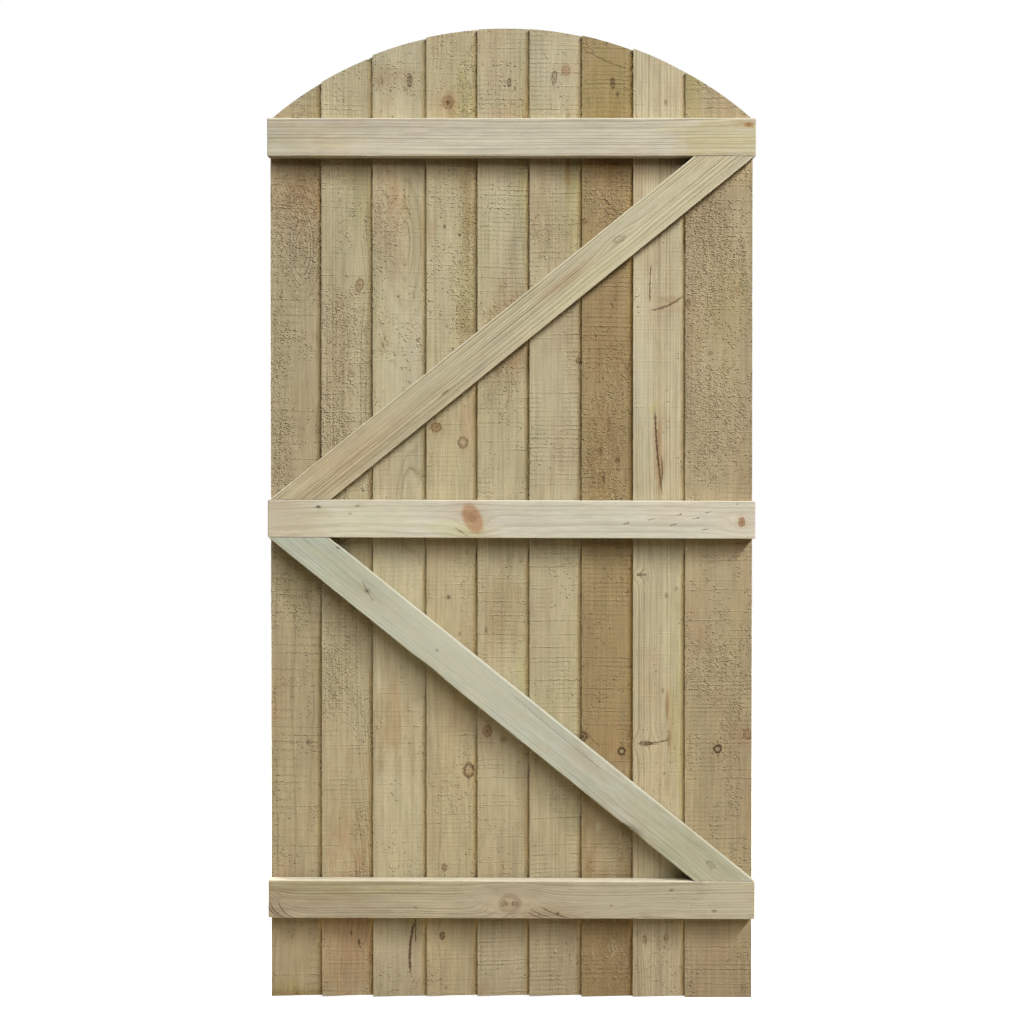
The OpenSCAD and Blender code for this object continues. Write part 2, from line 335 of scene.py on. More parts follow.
class Net:
    """Adds nodes to one shader tree, and returns their outputs. Sums are done by nodes, so a and b
    are sockets or numbers."""

    def __init__(self, tree):
        self.tree = tree

    def feed(self, socket, value):
        """Links an input to a socket, or sets it to a value."""
        if isinstance(value, bpy.types.NodeSocket):
            self.tree.links.new(value, socket)
        else:
            socket.default_value = value

    def add(self, kind, inputs, **settings):
        """A new node, with its inputs fed and its other settings made."""
        node = self.tree.nodes.new(kind)
        for name, value in settings.items():
            setattr(node, name, value)
        for key, value in inputs.items():
            self.feed(node.inputs[key], value)
        return node

    def math(self, operation, a, b=0.0, c=0.0):
        return self.add("ShaderNodeMath", {0: a, 1: b, 2: c}, operation=operation).outputs[0]

    def times(self, a, b):
        return self.math("MULTIPLY", a, b)

    def plus(self, a, b):
        return self.math("ADD", a, b)

    def less(self, a, b):
        return self.math("SUBTRACT", a, b)

    def over(self, a, b):
        return self.math("DIVIDE", a, b)

    def reach(self, a, b):
        """The length of (a, b)."""
        return self.math("SQRT", self.plus(self.times(a, a), self.times(b, b)))

    def vector(self, operation, a, b=(0, 0, 0)):
        return self.add("ShaderNodeVectorMath", {0: a, 1: b}, operation=operation).outputs[0]

    def scaled(self, a, factor):
        return self.add("ShaderNodeVectorMath", {0: a, "Scale": factor}, operation="SCALE").outputs[0]

    def split(self, vector):
        return self.add("ShaderNodeSeparateXYZ", {0: vector}).outputs

    def join(self, x, y, z):
        return self.add("ShaderNodeCombineXYZ", {0: x, 1: y, 2: z}).outputs[0]

    def ease(self, value, low, high, out_low=0.0, out_high=1.0):
        """Rises smoothly from out_low to out_high as value goes from low to high."""
        inputs = {0: value, 1: low, 2: high, 3: out_low, 4: out_high}
        return self.add("ShaderNodeMapRange", inputs, interpolation_type="SMOOTHSTEP").outputs[0]

    def noise(self, vector, scales, detail=2.0, roughness=0.5):
        """Noise with as many features in a metre across, deep and along as scales says."""
        place = self.vector("MULTIPLY", vector, scales)
        inputs = {"Vector": place, "Scale": 1.0, "Detail": detail, "Roughness": roughness}
        return self.add("ShaderNodeTexNoise", inputs).outputs[0]

    def mix(self, factor, a, b, blend="MIX"):
        """Blends colour b over colour a. Either is a socket, or linear red, green and blue."""
        node = self.add("ShaderNodeMix", {0: factor}, data_type="RGBA", blend_type=blend)
        for index, value in ((6, a), (7, b)):
            self.feed(node.inputs[index], (*value, 1.0) if isinstance(value, tuple) else value)
        return node.outputs[2]

    def place(self, tree, **inputs):
        """Places a node group and returns its outputs."""
        node = self.tree.nodes.new("ShaderNodeGroup")
        node.node_tree = tree
        for name, value in inputs.items():
            self.feed(node.inputs[name], value)
        return node.outputs


SOCKETS = {"f": "NodeSocketFloat", "v": "NodeSocketVector", "c": "NodeSocketColor"}


def new_group(name, inputs, outputs):
    """An empty shader node group. inputs and outputs are (name, kind) pairs, with kind f, v or c."""
    tree = bpy.data.node_groups.new(name, "ShaderNodeTree")
    for label, kind in inputs:
        tree.interface.new_socket(label, in_out="INPUT", socket_type=SOCKETS[kind])
    for label, kind in outputs:
        tree.interface.new_socket(label, in_out="OUTPUT", socket_type=SOCKETS[kind])
    entry = tree.nodes.new("NodeGroupInput")
    leave = tree.nodes.new("NodeGroupOutput")
    return tree, Net(tree), entry.outputs, leave.inputs


def raggedness_group():
    """Noise shared by a timber's knots and patches, which keeps their outlines from being even."""
    inputs = [("Timber", "v"), ("Seed", "f")]
    tree, net, entry, leave = new_group("raggedness", inputs, [("Wobble", "f"), ("Ragged", "f")])
    seeded = net.vector("ADD", entry["Timber"], net.scaled((3.1, 7.7, 1.3), entry["Seed"]))
    wobble = net.ease(net.noise(seeded, (260, 260, 200), 3.0, 0.6), 0.25, 0.75, 0.6, 1.45)
    ragged = net.ease(net.noise(seeded, (60, 60, 16), 4.0, 0.65), 0.25, 0.75, -0.55, 0.55)
    net.feed(leave["Wobble"], wobble)
    net.feed(leave["Ragged"], ragged)
    return tree


KNOT_MASKS = ["Bend", "Pull", "Dark", "Red"]
SMALL_KNOT = 3.5


def knot_group():
    """One knot, added to those before it. It bends the grain round itself, and gives masks for its
    dark ring and heart and for its reddened wood."""
    chained = [(name, "f") for name in KNOT_MASKS]
    own = [
        ("Timber", "v"), ("Wobble", "f"), ("Across", "f"), ("Along", "f"), ("Radius", "f"),
        ("Stretch", "f"), ("Lean", "f"), ("Rim", "f"), ("Heart", "f"), ("Stain", "f"),
    ]
    tree, net, entry, leave = new_group("knot", own + chained, chained)
    x, y, z = net.split(entry["Timber"])
    off = net.less(x, entry["Across"])
    up = net.less(net.less(z, entry["Along"]), net.times(off, entry["Lean"]))
    up = net.over(up, entry["Stretch"])
    far = net.over(net.reach(off, up), entry["Radius"])
    # The outline is uneven by a millimetre or so, whatever the size of the knot
    share = net.math("MINIMUM", net.over(0.0026, entry["Radius"]), 1.0)
    uneven = net.plus(net.times(net.less(entry["Wobble"], 1.0), share), 1.0)
    rough = net.times(far, uneven)
    ring = net.times(net.ease(rough, 0.5, 0.8), net.ease(rough, 1.35, 1.1))
    ring = net.times(net.times(ring, entry["Rim"]), net.ease(entry["Wobble"], 1.35, 0.9, 0.5, 1.0))
    heart = net.times(net.ease(rough, 0.7, 0.2), entry["Heart"])
    # Its own year rings
    inner = net.math("SINE", net.times(rough, net.plus(net.times(entry["Radius"], 900.0), 9.0)))
    inner = net.times(net.ease(inner, 0.1, 0.8), net.ease(rough, 1.1, 0.9))
    inner = net.times(inner, net.times(net.math("MAXIMUM", entry["Rim"], entry["Stain"]), 0.3))
    heart = net.math("MAXIMUM", heart, inner)
    # Dark wisps run out along the grain
    wisp = net.over(net.math("ABSOLUTE", off), entry["Radius"])
    wisp = net.times(net.ease(net.times(wisp, entry["Wobble"]), 0.45, 0.0), net.ease(far, 3.2, 0.9))
    wisp = net.times(wisp, net.times(entry["Rim"], 0.35))
    dark = net.math("MAXIMUM", net.math("MAXIMUM", ring, heart), wisp)
    stain = net.plus(net.times(net.ease(rough, 1.35, 0.9), 0.75), net.times(net.ease(far, 3.4, 0.8), 0.25))
    red = net.times(stain, entry["Stain"])
    # Wood grows round a knot: the grain is pushed aside at its heart, and less along the stem
    hold = net.math("MINIMUM", entry["Radius"], 0.01)
    side = net.over(off, net.times(hold, 2.4))
    stem = net.over(up, net.times(hold, 5.5))
    fall = net.math("EXPONENT", net.times(net.plus(net.times(side, side), net.times(stem, stem)), -1.0))
    bend = net.times(net.times(off, fall), -0.85)
    pull = net.times(net.times(hold, fall), 0.75)
    net.feed(leave["Bend"], net.plus(entry["Bend"], bend))
    net.feed(leave["Pull"], net.plus(entry["Pull"], pull))
    net.feed(leave["Dark"], net.math("MAXIMUM", entry["Dark"], dark))
    net.feed(leave["Red"], net.math("MAXIMUM", entry["Red"], red))
    return tree


def figure_group():
    """One swell in the year rings, added to those before it. It shows as nested arches or ovals."""
    own = [
        ("Timber", "v"), ("Across", "f"), ("Along", "f"), ("Wide", "f"), ("Long", "f"), ("Swell", "f"),
        ("Pull", "f"), ("Shown", "f"),
    ]
    tree, net, entry, leave = new_group("figure", own, [("Pull", "f"), ("Shown", "f")])
    x, y, z = net.split(entry["Timber"])
    off = net.over(net.less(x, entry["Across"]), entry["Wide"])
    up = net.over(net.less(z, entry["Along"]), entry["Long"])
    fall = net.math("EXPONENT", net.times(net.plus(net.times(off, off), net.times(up, up)), -1.0))
    net.feed(leave["Pull"], net.plus(entry["Pull"], net.times(fall, entry["Swell"])))
    net.feed(leave["Shown"], net.math("MAXIMUM", entry["Shown"], net.ease(fall, 0.1, 0.6)))
    return tree


def patch_group():
    """One soft-edged patch, added to a mask that it shares with the patches before it."""
    own = [
        ("Timber", "v"), ("Ragged", "f"), ("Across", "f"), ("Along", "f"), ("Wide", "f"), ("Long", "f"),
        ("Strength", "f"), ("Mask", "f"),
    ]
    tree, net, entry, leave = new_group("patch", own, [("Mask", "f")])
    x, y, z = net.split(entry["Timber"])
    off = net.over(net.less(x, entry["Across"]), entry["Wide"])
    up = net.over(net.less(z, entry["Along"]), entry["Long"])
    far = net.plus(net.reach(off, up), entry["Ragged"])
    mask = net.times(net.ease(far, 1.4, 0.2), entry["Strength"])
    net.feed(leave["Mask"], net.math("MAXIMUM", entry["Mask"], mask))
    return tree


def crack_group():
    """One narrow crack or resin line between two places, bowed sideways, added to those before it."""
    own = [
        ("Timber", "v"), ("Wobble", "f"), ("Across", "f"), ("Along", "f"), ("To across", "f"),
        ("To along", "f"), ("Bow", "f"), ("Wide", "f"), ("Tone", "f"), ("Mask", "f"),
    ]
    tree, net, entry, leave = new_group("crack", own, [("Mask", "f")])
    x, y, z = net.split(entry["Timber"])
    run_x = net.less(entry["To across"], entry["Across"])
    run_z = net.less(entry["To along"], entry["Along"])
    length = net.reach(run_x, run_z)
    off_x = net.less(x, entry["Across"])
    off_z = net.less(z, entry["Along"])
    along = net.plus(net.times(off_x, run_x), net.times(off_z, run_z))
    share = net.over(along, net.times(length, length))
    side = net.over(net.less(net.times(off_x, run_z), net.times(off_z, run_x)), length)
    bow = net.times(net.times(share, net.less(1.0, share)), net.times(entry["Bow"], 4.0))
    drift = net.times(net.less(entry["Wobble"], 1.0), 0.003)
    far = net.over(net.math("ABSOLUTE", net.plus(net.less(side, bow), drift)), entry["Wide"])
    mask = net.times(net.ease(far, 1.0, 0.3), net.ease(share, 0.0, 0.12))
    mask = net.times(net.times(mask, net.ease(share, 1.0, 0.8)), entry["Tone"])
    net.feed(leave["Mask"], net.math("MAXIMUM", entry["Mask"], mask))
    return tree


def rings_group():
    """Growth rings: the distance from a wandering heart line, cut into years. Late is the dark end
    of each year, Line the thin mark where it stops, and Year a value of its own for each ring."""
    inputs = [
        ("Timber", "v"), ("Seeded", "v"), ("Bend", "f"), ("Pull", "f"), ("Heart", "v"),
        ("Slope", "f"), ("Wander", "f"), ("Ring", "f"),
    ]
    outputs = [("Late", "f"), ("Line", "f"), ("Year", "f")]
    tree, net, entry, leave = new_group("growth_rings", inputs, outputs)
    x, y, z = net.split(entry["Timber"])
    heart_x, heart_y, unused = net.split(entry["Heart"])
    drift = net.less(net.noise(entry["Seeded"], (0.3, 0.3, 1.7)), 0.5)
    sway = net.less(net.noise(entry["Seeded"], (0.3, 0.3, 2.9), 1.0), 0.5)
    off = net.less(net.plus(x, entry["Bend"]), heart_x)
    off = net.plus(off, net.times(sway, entry["Wander"]))
    deep = net.less(net.less(y, heart_y), net.times(z, entry["Slope"]))
    deep = net.plus(deep, net.times(drift, net.times(entry["Wander"], 3.0)))
    ripple = net.less(net.noise(entry["Seeded"], (60, 60, 9), 3.0, 0.6), 0.5)
    broad = net.less(net.noise(entry["Seeded"], (11, 11, 1.4), 1.0), 0.5)
    uneven = net.plus(net.times(ripple, 0.0026), net.times(broad, 0.009))
    radius = net.reach(off, deep)
    far = net.plus(radius, net.plus(entry["Pull"], uneven))
    turn = net.over(far, entry["Ring"])
    # Good and bad years: the rings crowd and spread
    inputs = {"W": turn, "Scale": 0.37, "Detail": 2.0}
    season = net.add("ShaderNodeTexNoise", inputs, noise_dimensions="1D").outputs[0]
    turn = net.plus(turn, net.times(season, 2.4))
    part = net.math("FRACT", turn)
    year = net.add("ShaderNodeTexWhiteNoise", {"W": net.math("FLOOR", turn)}, noise_dimensions="1D")
    net.feed(leave["Late"], net.times(net.ease(part, 0.3, 0.86), net.ease(part, 1.0, 0.9)))
    # Where rings meet the face at a slant they spread out, but the line between two stays thin
    steep = net.over(net.math("ABSOLUTE", off), radius)
    wide = net.over(net.times(net.plus(net.times(steep, 0.6), 0.55), 0.0012), entry["Ring"])
    away = net.over(net.math("ABSOLUTE", net.less(part, 0.72)), wide)
    net.feed(leave["Line"], net.ease(away, 1.0, 0.3))
    net.feed(leave["Year"], year.outputs[0])
    return tree


def sawn_group():
    """A rough-sawn face: broken lines that the saw left across it, flecks of fibre that it tore up,
    and year rings that stand proud as rows of beads. Tone lightens or darkens the wood, Rise is a
    height."""
    inputs = [
        ("Seeded", "v"), ("Line", "f"), ("Torn", "f"), ("Saw", "f"), ("Fuzz", "f"), ("Pitch", "f"),
    ]
    tree, net, entry, leave = new_group("sawn_face", inputs, [("Tone", "f"), ("Rise", "f")])
    seeded = entry["Seeded"]
    x, y, z = net.split(seeded)
    patchy = net.ease(net.noise(seeded, (21, 21, 10), 3.0, 0.6), 0.47, 0.62)
    cover = net.math("MINIMUM", net.plus(net.times(patchy, 0.5), entry["Torn"]), 1.0)
    cover = net.times(cover, entry["Fuzz"])
    # Each pass of the saw leaves a line of stitches. The lines bow, waver, and differ in strength.
    bowed = net.plus(z, net.times(net.noise(seeded, (4, 4, 3)), 0.016))
    bowed = net.plus(bowed, net.times(net.noise(seeded, (190, 190, 60), 2.0), 0.006))
    turns = net.over(bowed, entry["Pitch"])
    number = net.math("FLOOR", turns)
    random = net.add("ShaderNodeTexWhiteNoise", {"W": number}, noise_dimensions="1D").outputs
    shift = net.times(net.less(random["Value"], 0.5), 0.5)
    rise = net.times(net.less(net.less(net.math("FRACT", turns), 0.5), shift), entry["Pitch"])
    strength = net.ease(net.split(random["Color"])[1], 0.25, 0.9)
    here = net.join(net.times(x, 9.0), 0.0, net.times(number, 0.7))
    where = net.ease(net.noise(here, (1, 1, 1)), 0.36, 0.6)
    strength = net.times(net.times(strength, where), entry["Saw"])
    stitches = net.ease(net.noise(seeded, (240, 240, 300), 1.0), 0.36, 0.56, 0.1, 1.0)
    light = net.times(net.ease(net.math("ABSOLUTE", rise), 0.0015, 0.0005), stitches)
    broken = net.ease(net.noise(seeded, (60, 60, 130), 2.0), 0.42, 0.6)
    dark = net.times(net.ease(net.math("ABSOLUTE", net.plus(rise, 0.0021)), 0.0014, 0.0004), broken)
    light, dark = net.times(light, strength), net.times(dark, strength)
    # Even, shallow grooves between the strong lines
    beat = net.math("SINE", net.times(turns, 2 * math.pi))
    even = net.ease(net.noise(seeded, (15, 15, 6), 1.0), 0.42, 0.58)
    chatter = net.times(net.times(net.ease(beat, -0.2, 0.9), even), net.times(stitches, entry["Saw"]))
    # Flecks: short strokes that the saw raised on the slant, each one cell of a skewed lattice
    swirl = net.times(net.less(net.noise(seeded, (34, 34, 22), 1.0), 0.5), 0.012)
    lean_x = net.times(net.plus(net.plus(x, net.times(z, 0.75)), swirl), 150.0)
    lean_z = net.times(net.plus(net.less(z, net.times(x, 0.35)), swirl), 300.0)
    cells = net.add(
        "ShaderNodeTexVoronoi", {"Vector": net.join(lean_x, net.times(y, 200.0), lean_z), "Scale": 1.0}
    ).outputs
    pick, size, other = net.split(cells["Color"])
    kept = net.ease(net.less(pick, net.less(1.0, net.times(cover, 0.95))), 0.0, 0.05)
    fleck = net.times(net.ease(cells["Distance"], net.plus(net.times(size, 0.3), 0.4), 0.12), kept)
    speck = net.times(net.ease(cells["Distance"], 0.35, 0.1), net.ease(other, 0.8, 0.84))
    speck = net.times(net.times(speck, net.less(1.0, kept)), net.plus(cover, 0.12))
    grit = net.times(net.less(net.noise(seeded, (330, 330, 330), 1.0), 0.5), net.plus(cover, 0.12))
    # Beads along the year rings
    beads = net.ease(net.noise(seeded, (330, 330, 230), 1.0), 0.4, 0.58)
    bead = net.times(beads, net.times(entry["Line"], net.plus(cover, net.times(entry["Fuzz"], 0.5))))
    tone = net.plus(net.times(light, 0.28), net.times(dark, -0.13))
    tone = net.plus(tone, net.times(chatter, -0.09))
    tone = net.plus(tone, net.times(fleck, 0.27))
    tone = net.plus(tone, net.times(bead, 0.1))
    tone = net.plus(tone, net.times(speck, -0.3))
    tone = net.plus(tone, net.times(grit, 0.5))
    rise = net.plus(net.times(light, 0.0011), net.times(dark, -0.0003))
    rise = net.plus(rise, net.times(chatter, -0.00045))
    rise = net.plus(rise, net.times(fleck, 0.002))
    rise = net.plus(rise, net.times(grit, 0.0012))
    rise = net.plus(rise, net.times(bead, 0.0013))
    net.feed(leave["Tone"], tone)
    net.feed(leave["Rise"], rise)
    return tree


# Up a board, where the cast shadows of the top and the middle ledge fall below them: the
# heights between which the shadow grows, and those between which it fades
TOP_LEDGE_SHADOW = (1.49, 1.55, 1.62, 1.58)
MIDDLE_LEDGE_SHADOW = (0.79, 0.83, 0.88, 0.86)

PATCH_KINDS = ["Warm", "Green", "Brown", "Bleached", "Torn"]
WOOD_INPUTS = [
    ("Timber", "v"), ("Seed", "f"), ("Arris", "f"), ("End", "f"), ("Crack", "f"),
    ("Pale", "c"), ("Late", "c"), ("Heart", "v"), ("Slope", "f"), ("Wander", "f"), ("Ring", "f"),
    ("Rings", "f"), ("Saw", "f"), ("Pitch", "f"), ("Fuzz", "f"), ("Lap", "v"), ("Shown", "f"),
    ("Bleach", "f"),
]


def stained(net, base, entry, tint):
    """Adds to a colour the treatment's tints, faint all over and strong in patches, and the knots
    and cracks."""
    warm = net.math("MAXIMUM", net.ease(tint, 0.5, 0.72, 0.0, 0.35), net.times(entry["Warm"], 0.5))
    base = net.mix(warm, base, net.mix(1.0, base, colour("#fbe2d8"), "MULTIPLY"))
    green = net.math("MAXIMUM", net.ease(tint, 0.5, 0.28, 0.0, 0.25), net.times(entry["Green"], 0.7))
    base = net.mix(green, base, net.mix(1.0, base, colour("#f2f5d2"), "MULTIPLY"))
    base = net.mix(entry["Bleached"], base, net.mix(0.55, base, colour("#ccc6ab")))
    base = net.mix(net.times(entry["Brown"], 0.8), base, net.mix(1.0, base, colour("#d2b48e"), "MULTIPLY"))
    base = net.mix(entry["Red"], base, net.mix(1.0, base, colour("#ebbf9c"), "MULTIPLY"))
    base = net.mix(entry["Dark"], base, net.mix(0.9, base, colour("#46331f")))
    return net.mix(entry["Crack"], base, net.mix(0.85, base, colour("#4f3421")))


def wear_and_painted_light(net, base, entry, mottle, sawn_share):
    """Adds to a colour painted light in a strip along the next board's lap, which lifts the lap's
    shadow, and in the top ledge's cast shadow; darker wood towards the foot; arrises paler partly
    from wear and partly as a painted highlight, and a painted highlight on the upper faces of the
    ledges and braces; and dark end grain."""
    across, deep, along = net.split(entry["Timber"])
    lap, shade, top = net.split(entry["Lap"])
    board = net.ease(lap, 0.0, 0.01)
    near = net.times(net.ease(deep, 0.006, 0.003), board)
    # The cast shadows below the top and middle ledge and below the lower brace get none of the lap's
    # painted light
    top_shadow = net.times(net.ease(along, *TOP_LEDGE_SHADOW[:2]), net.ease(along, *TOP_LEDGE_SHADOW[2:]))
    middle_shadow = net.times(net.ease(along, *MIDDLE_LEDGE_SHADOW[:2]), net.ease(along, *MIDDLE_LEDGE_SHADOW[2:]))
    # Painted light: the strip of the board just before the next board's lap is lightened, lifting the
    # shadow that the lap casts there
    past = net.less(across, lap)
    painted_lap_light = net.times(net.times(net.ease(past, -0.013, 0.0), net.ease(past, 0.004, 0.001)), near)
    below = net.less(shade, along)
    brace_shadow = net.times(net.ease(below, -0.012, 0.008), net.ease(below, 0.1, 0.06))
    cast_shadows = net.math("MAXIMUM", net.math("MAXIMUM", top_shadow, middle_shadow), brace_shadow)
    painted_lap_light = net.times(painted_lap_light, net.less(1.0, cast_shadows))
    painted_lap_light = net.times(painted_lap_light, net.ease(net.less(top, along), 0.004, 0.014))
    base = net.mix(painted_lap_light, base, net.mix(1.0, base, (1.42, 1.3, 1.05), "MULTIPLY"))
    # The lap's painted light is stronger still near the top
    painted_lap_light = net.times(painted_lap_light, net.ease(along, 1.0, 1.5))
    base = net.mix(painted_lap_light, base, net.mix(1.0, base, (1.4, 1.4, 1.45), "MULTIPLY"))
    foot = net.times(net.ease(along, 0.4, -0.05), board)
    base = net.mix(net.times(foot, 0.8), base, net.mix(1.0, base, colour("#e5e0e2"), "MULTIPLY"))
    lower = net.times(net.ease(along, 1.0, 0.5), board)
    base = net.mix(lower, base, net.mix(1.0, base, (0.955, 0.945, 0.92), "MULTIPLY"))
    # Painted light: the boards are lightened in the top ledge's cast shadow
    top_shadow = net.times(top_shadow, near)
    base = net.mix(top_shadow, base, net.mix(1.0, base, (1.18, 1.12, 1.08), "MULTIPLY"))
    # The arrises are paler, partly as wear and partly as a painted highlight
    worn = net.times(entry["Arris"], net.ease(mottle, 0.35, 0.5, 0.55, 0.8))
    worn = net.times(worn, net.less(1.0, net.times(sawn_share, 0.5)))
    worn = net.times(worn, net.times(entry["Bleach"], 1.25))
    # Painted highlight: a ledge's or brace's upper face is lightened as if lit from above
    upper = net.times(net.ease(across, 0.0022, 0.0008), net.less(1.0, board))
    bleached = net.times(net.ease(mottle, 0.35, 0.6, 0.75, 1.0), entry["Bleach"])
    worn = net.math("MAXIMUM", worn, net.times(upper, bleached))
    base = net.mix(worn, base, colour("#eee4cc"))
    return net.scaled(base, net.ease(entry["End"], 0.0, 1.0, 1.0, 0.6))


def softwood_group(rings, sawn):
    """Treated softwood: rings, fibres, saw marks, torn fibres, knots and stains, as one colour, one
    roughness and one height in metres."""
    inputs = WOOD_INPUTS + [(name, "f") for name in KNOT_MASKS + PATCH_KINDS]
    outputs = [("Colour", "c"), ("Roughness", "f"), ("Height", "f")]
    tree, net, entry, leave = new_group("softwood", inputs, outputs)
    seeded = net.vector("ADD", entry["Timber"], net.scaled((17.3, 5.9, 11.7), entry["Seed"]))
    grown = net.place(
        rings, Timber=entry["Timber"], Seeded=seeded, Bend=entry["Bend"], Pull=entry["Pull"],
        Heart=entry["Heart"], Slope=entry["Slope"], Wander=entry["Wander"], Ring=entry["Ring"],
    )
    x, y, z = net.split(seeded)
    bent = net.join(net.plus(x, entry["Bend"]), y, z)
    fine = net.noise(bent, (900, 900, 26), 3.0, 0.6)
    broad = net.noise(bent, (210, 210, 5), 3.0, 0.6)
    clear = net.noise(bent, (38, 38, 1.6), 2.0)
    mottle = net.noise(seeded, (75, 75, 26), 4.0, 0.65)
    cloud = net.noise(seeded, (16, 16, 2.6), 4.0, 0.6)
    tint = net.noise(seeded, (13, 13, 4.5), 4.0, 0.6)
    # Some rings show strongly, and some bands of the wood are almost clear of them
    shown = net.times(net.ease(grown["Year"], 0.0, 1.0, 0.5, 1.0), net.ease(clear, 0.35, 0.55, 0.35, 1.0))
    sawn_share = net.math("MINIMUM", net.plus(entry["Saw"], entry["Fuzz"]), 1.0)
    # Sawing hides most rings but those of a figure
    hidden = net.times(net.times(sawn_share, 0.5), net.less(1.0, entry["Shown"]))
    shown = net.times(shown, net.less(1.0, hidden))
    line = net.times(grown["Line"], shown)
    band = net.times(entry["Rings"], net.plus(net.times(sawn_share, 0.2), 0.2))
    late = net.times(grown["Late"], net.plus(band, net.times(entry["End"], 0.4)))
    inked = net.times(net.times(line, entry["Rings"]), net.less(1.5, net.times(sawn_share, 0.9)))
    late = net.plus(net.times(late, shown), inked)
    base = net.mix(net.math("MINIMUM", late, 1.0), entry["Pale"], entry["Late"])
    # Streaks of lighter and darker fibre, and blotches
    tone = net.plus(net.ease(broad, 0.3, 0.7, -0.09, 0.09), net.ease(mottle, 0.3, 0.7, -0.055, 0.055))
    plain = net.math("MAXIMUM", sawn_share, net.math("MINIMUM", net.times(entry["Rings"], 1.8), 1.0))
    tone = net.plus(net.times(tone, plain), net.ease(fine, 0.3, 0.7, -0.075, 0.075))
    tone = net.plus(tone, net.ease(cloud, 0.3, 0.7, -0.085, 0.085))
    base = net.scaled(base, net.plus(tone, 1.0))
    base = stained(net, base, entry, tint)
    # The saw's work
    face = net.place(
        sawn, Seeded=seeded, Line=net.times(line, net.math("MINIMUM", net.times(entry["Rings"], 2.0), 1.0)),
        Torn=entry["Torn"], Saw=entry["Saw"], Fuzz=entry["Fuzz"], Pitch=entry["Pitch"],
    )
    cut_face = net.ease(entry["End"], 0.0, 1.0, 1.0, 0.35)
    base = net.scaled(base, net.plus(net.times(face["Tone"], cut_face), 1.0))
    base = wear_and_painted_light(net, base, entry, mottle, sawn_share)
    # A sawn face keeps its hard late wood proud
    proud = net.times(entry["Rings"], net.less(1.0, net.times(sawn_share, 0.6)))
    height = net.times(net.times(line, proud), 0.0006)
    height = net.plus(height, net.times(fine, 0.0001))
    height = net.plus(height, net.times(broad, 0.00006))
    height = net.plus(height, face["Rise"])
    height = net.plus(height, net.times(entry["Crack"], -0.0008))
    height = net.times(height, cut_face)
    rough = net.plus(net.ease(fine, 0.3, 0.7, 0.7, 0.85), net.times(entry["Dark"], -0.15))
    net.feed(leave["Colour"], base)
    net.feed(leave["Roughness"], rough)
    net.feed(leave["Height"], height)
    return tree


def groups():
    """The shader node groups, made once."""
    if "softwood" not in bpy.data.node_groups:
        raggedness_group()
        knot_group()
        figure_group()
        patch_group()
        crack_group()
        softwood_group(rings_group(), sawn_group())
    return bpy.data.node_groups


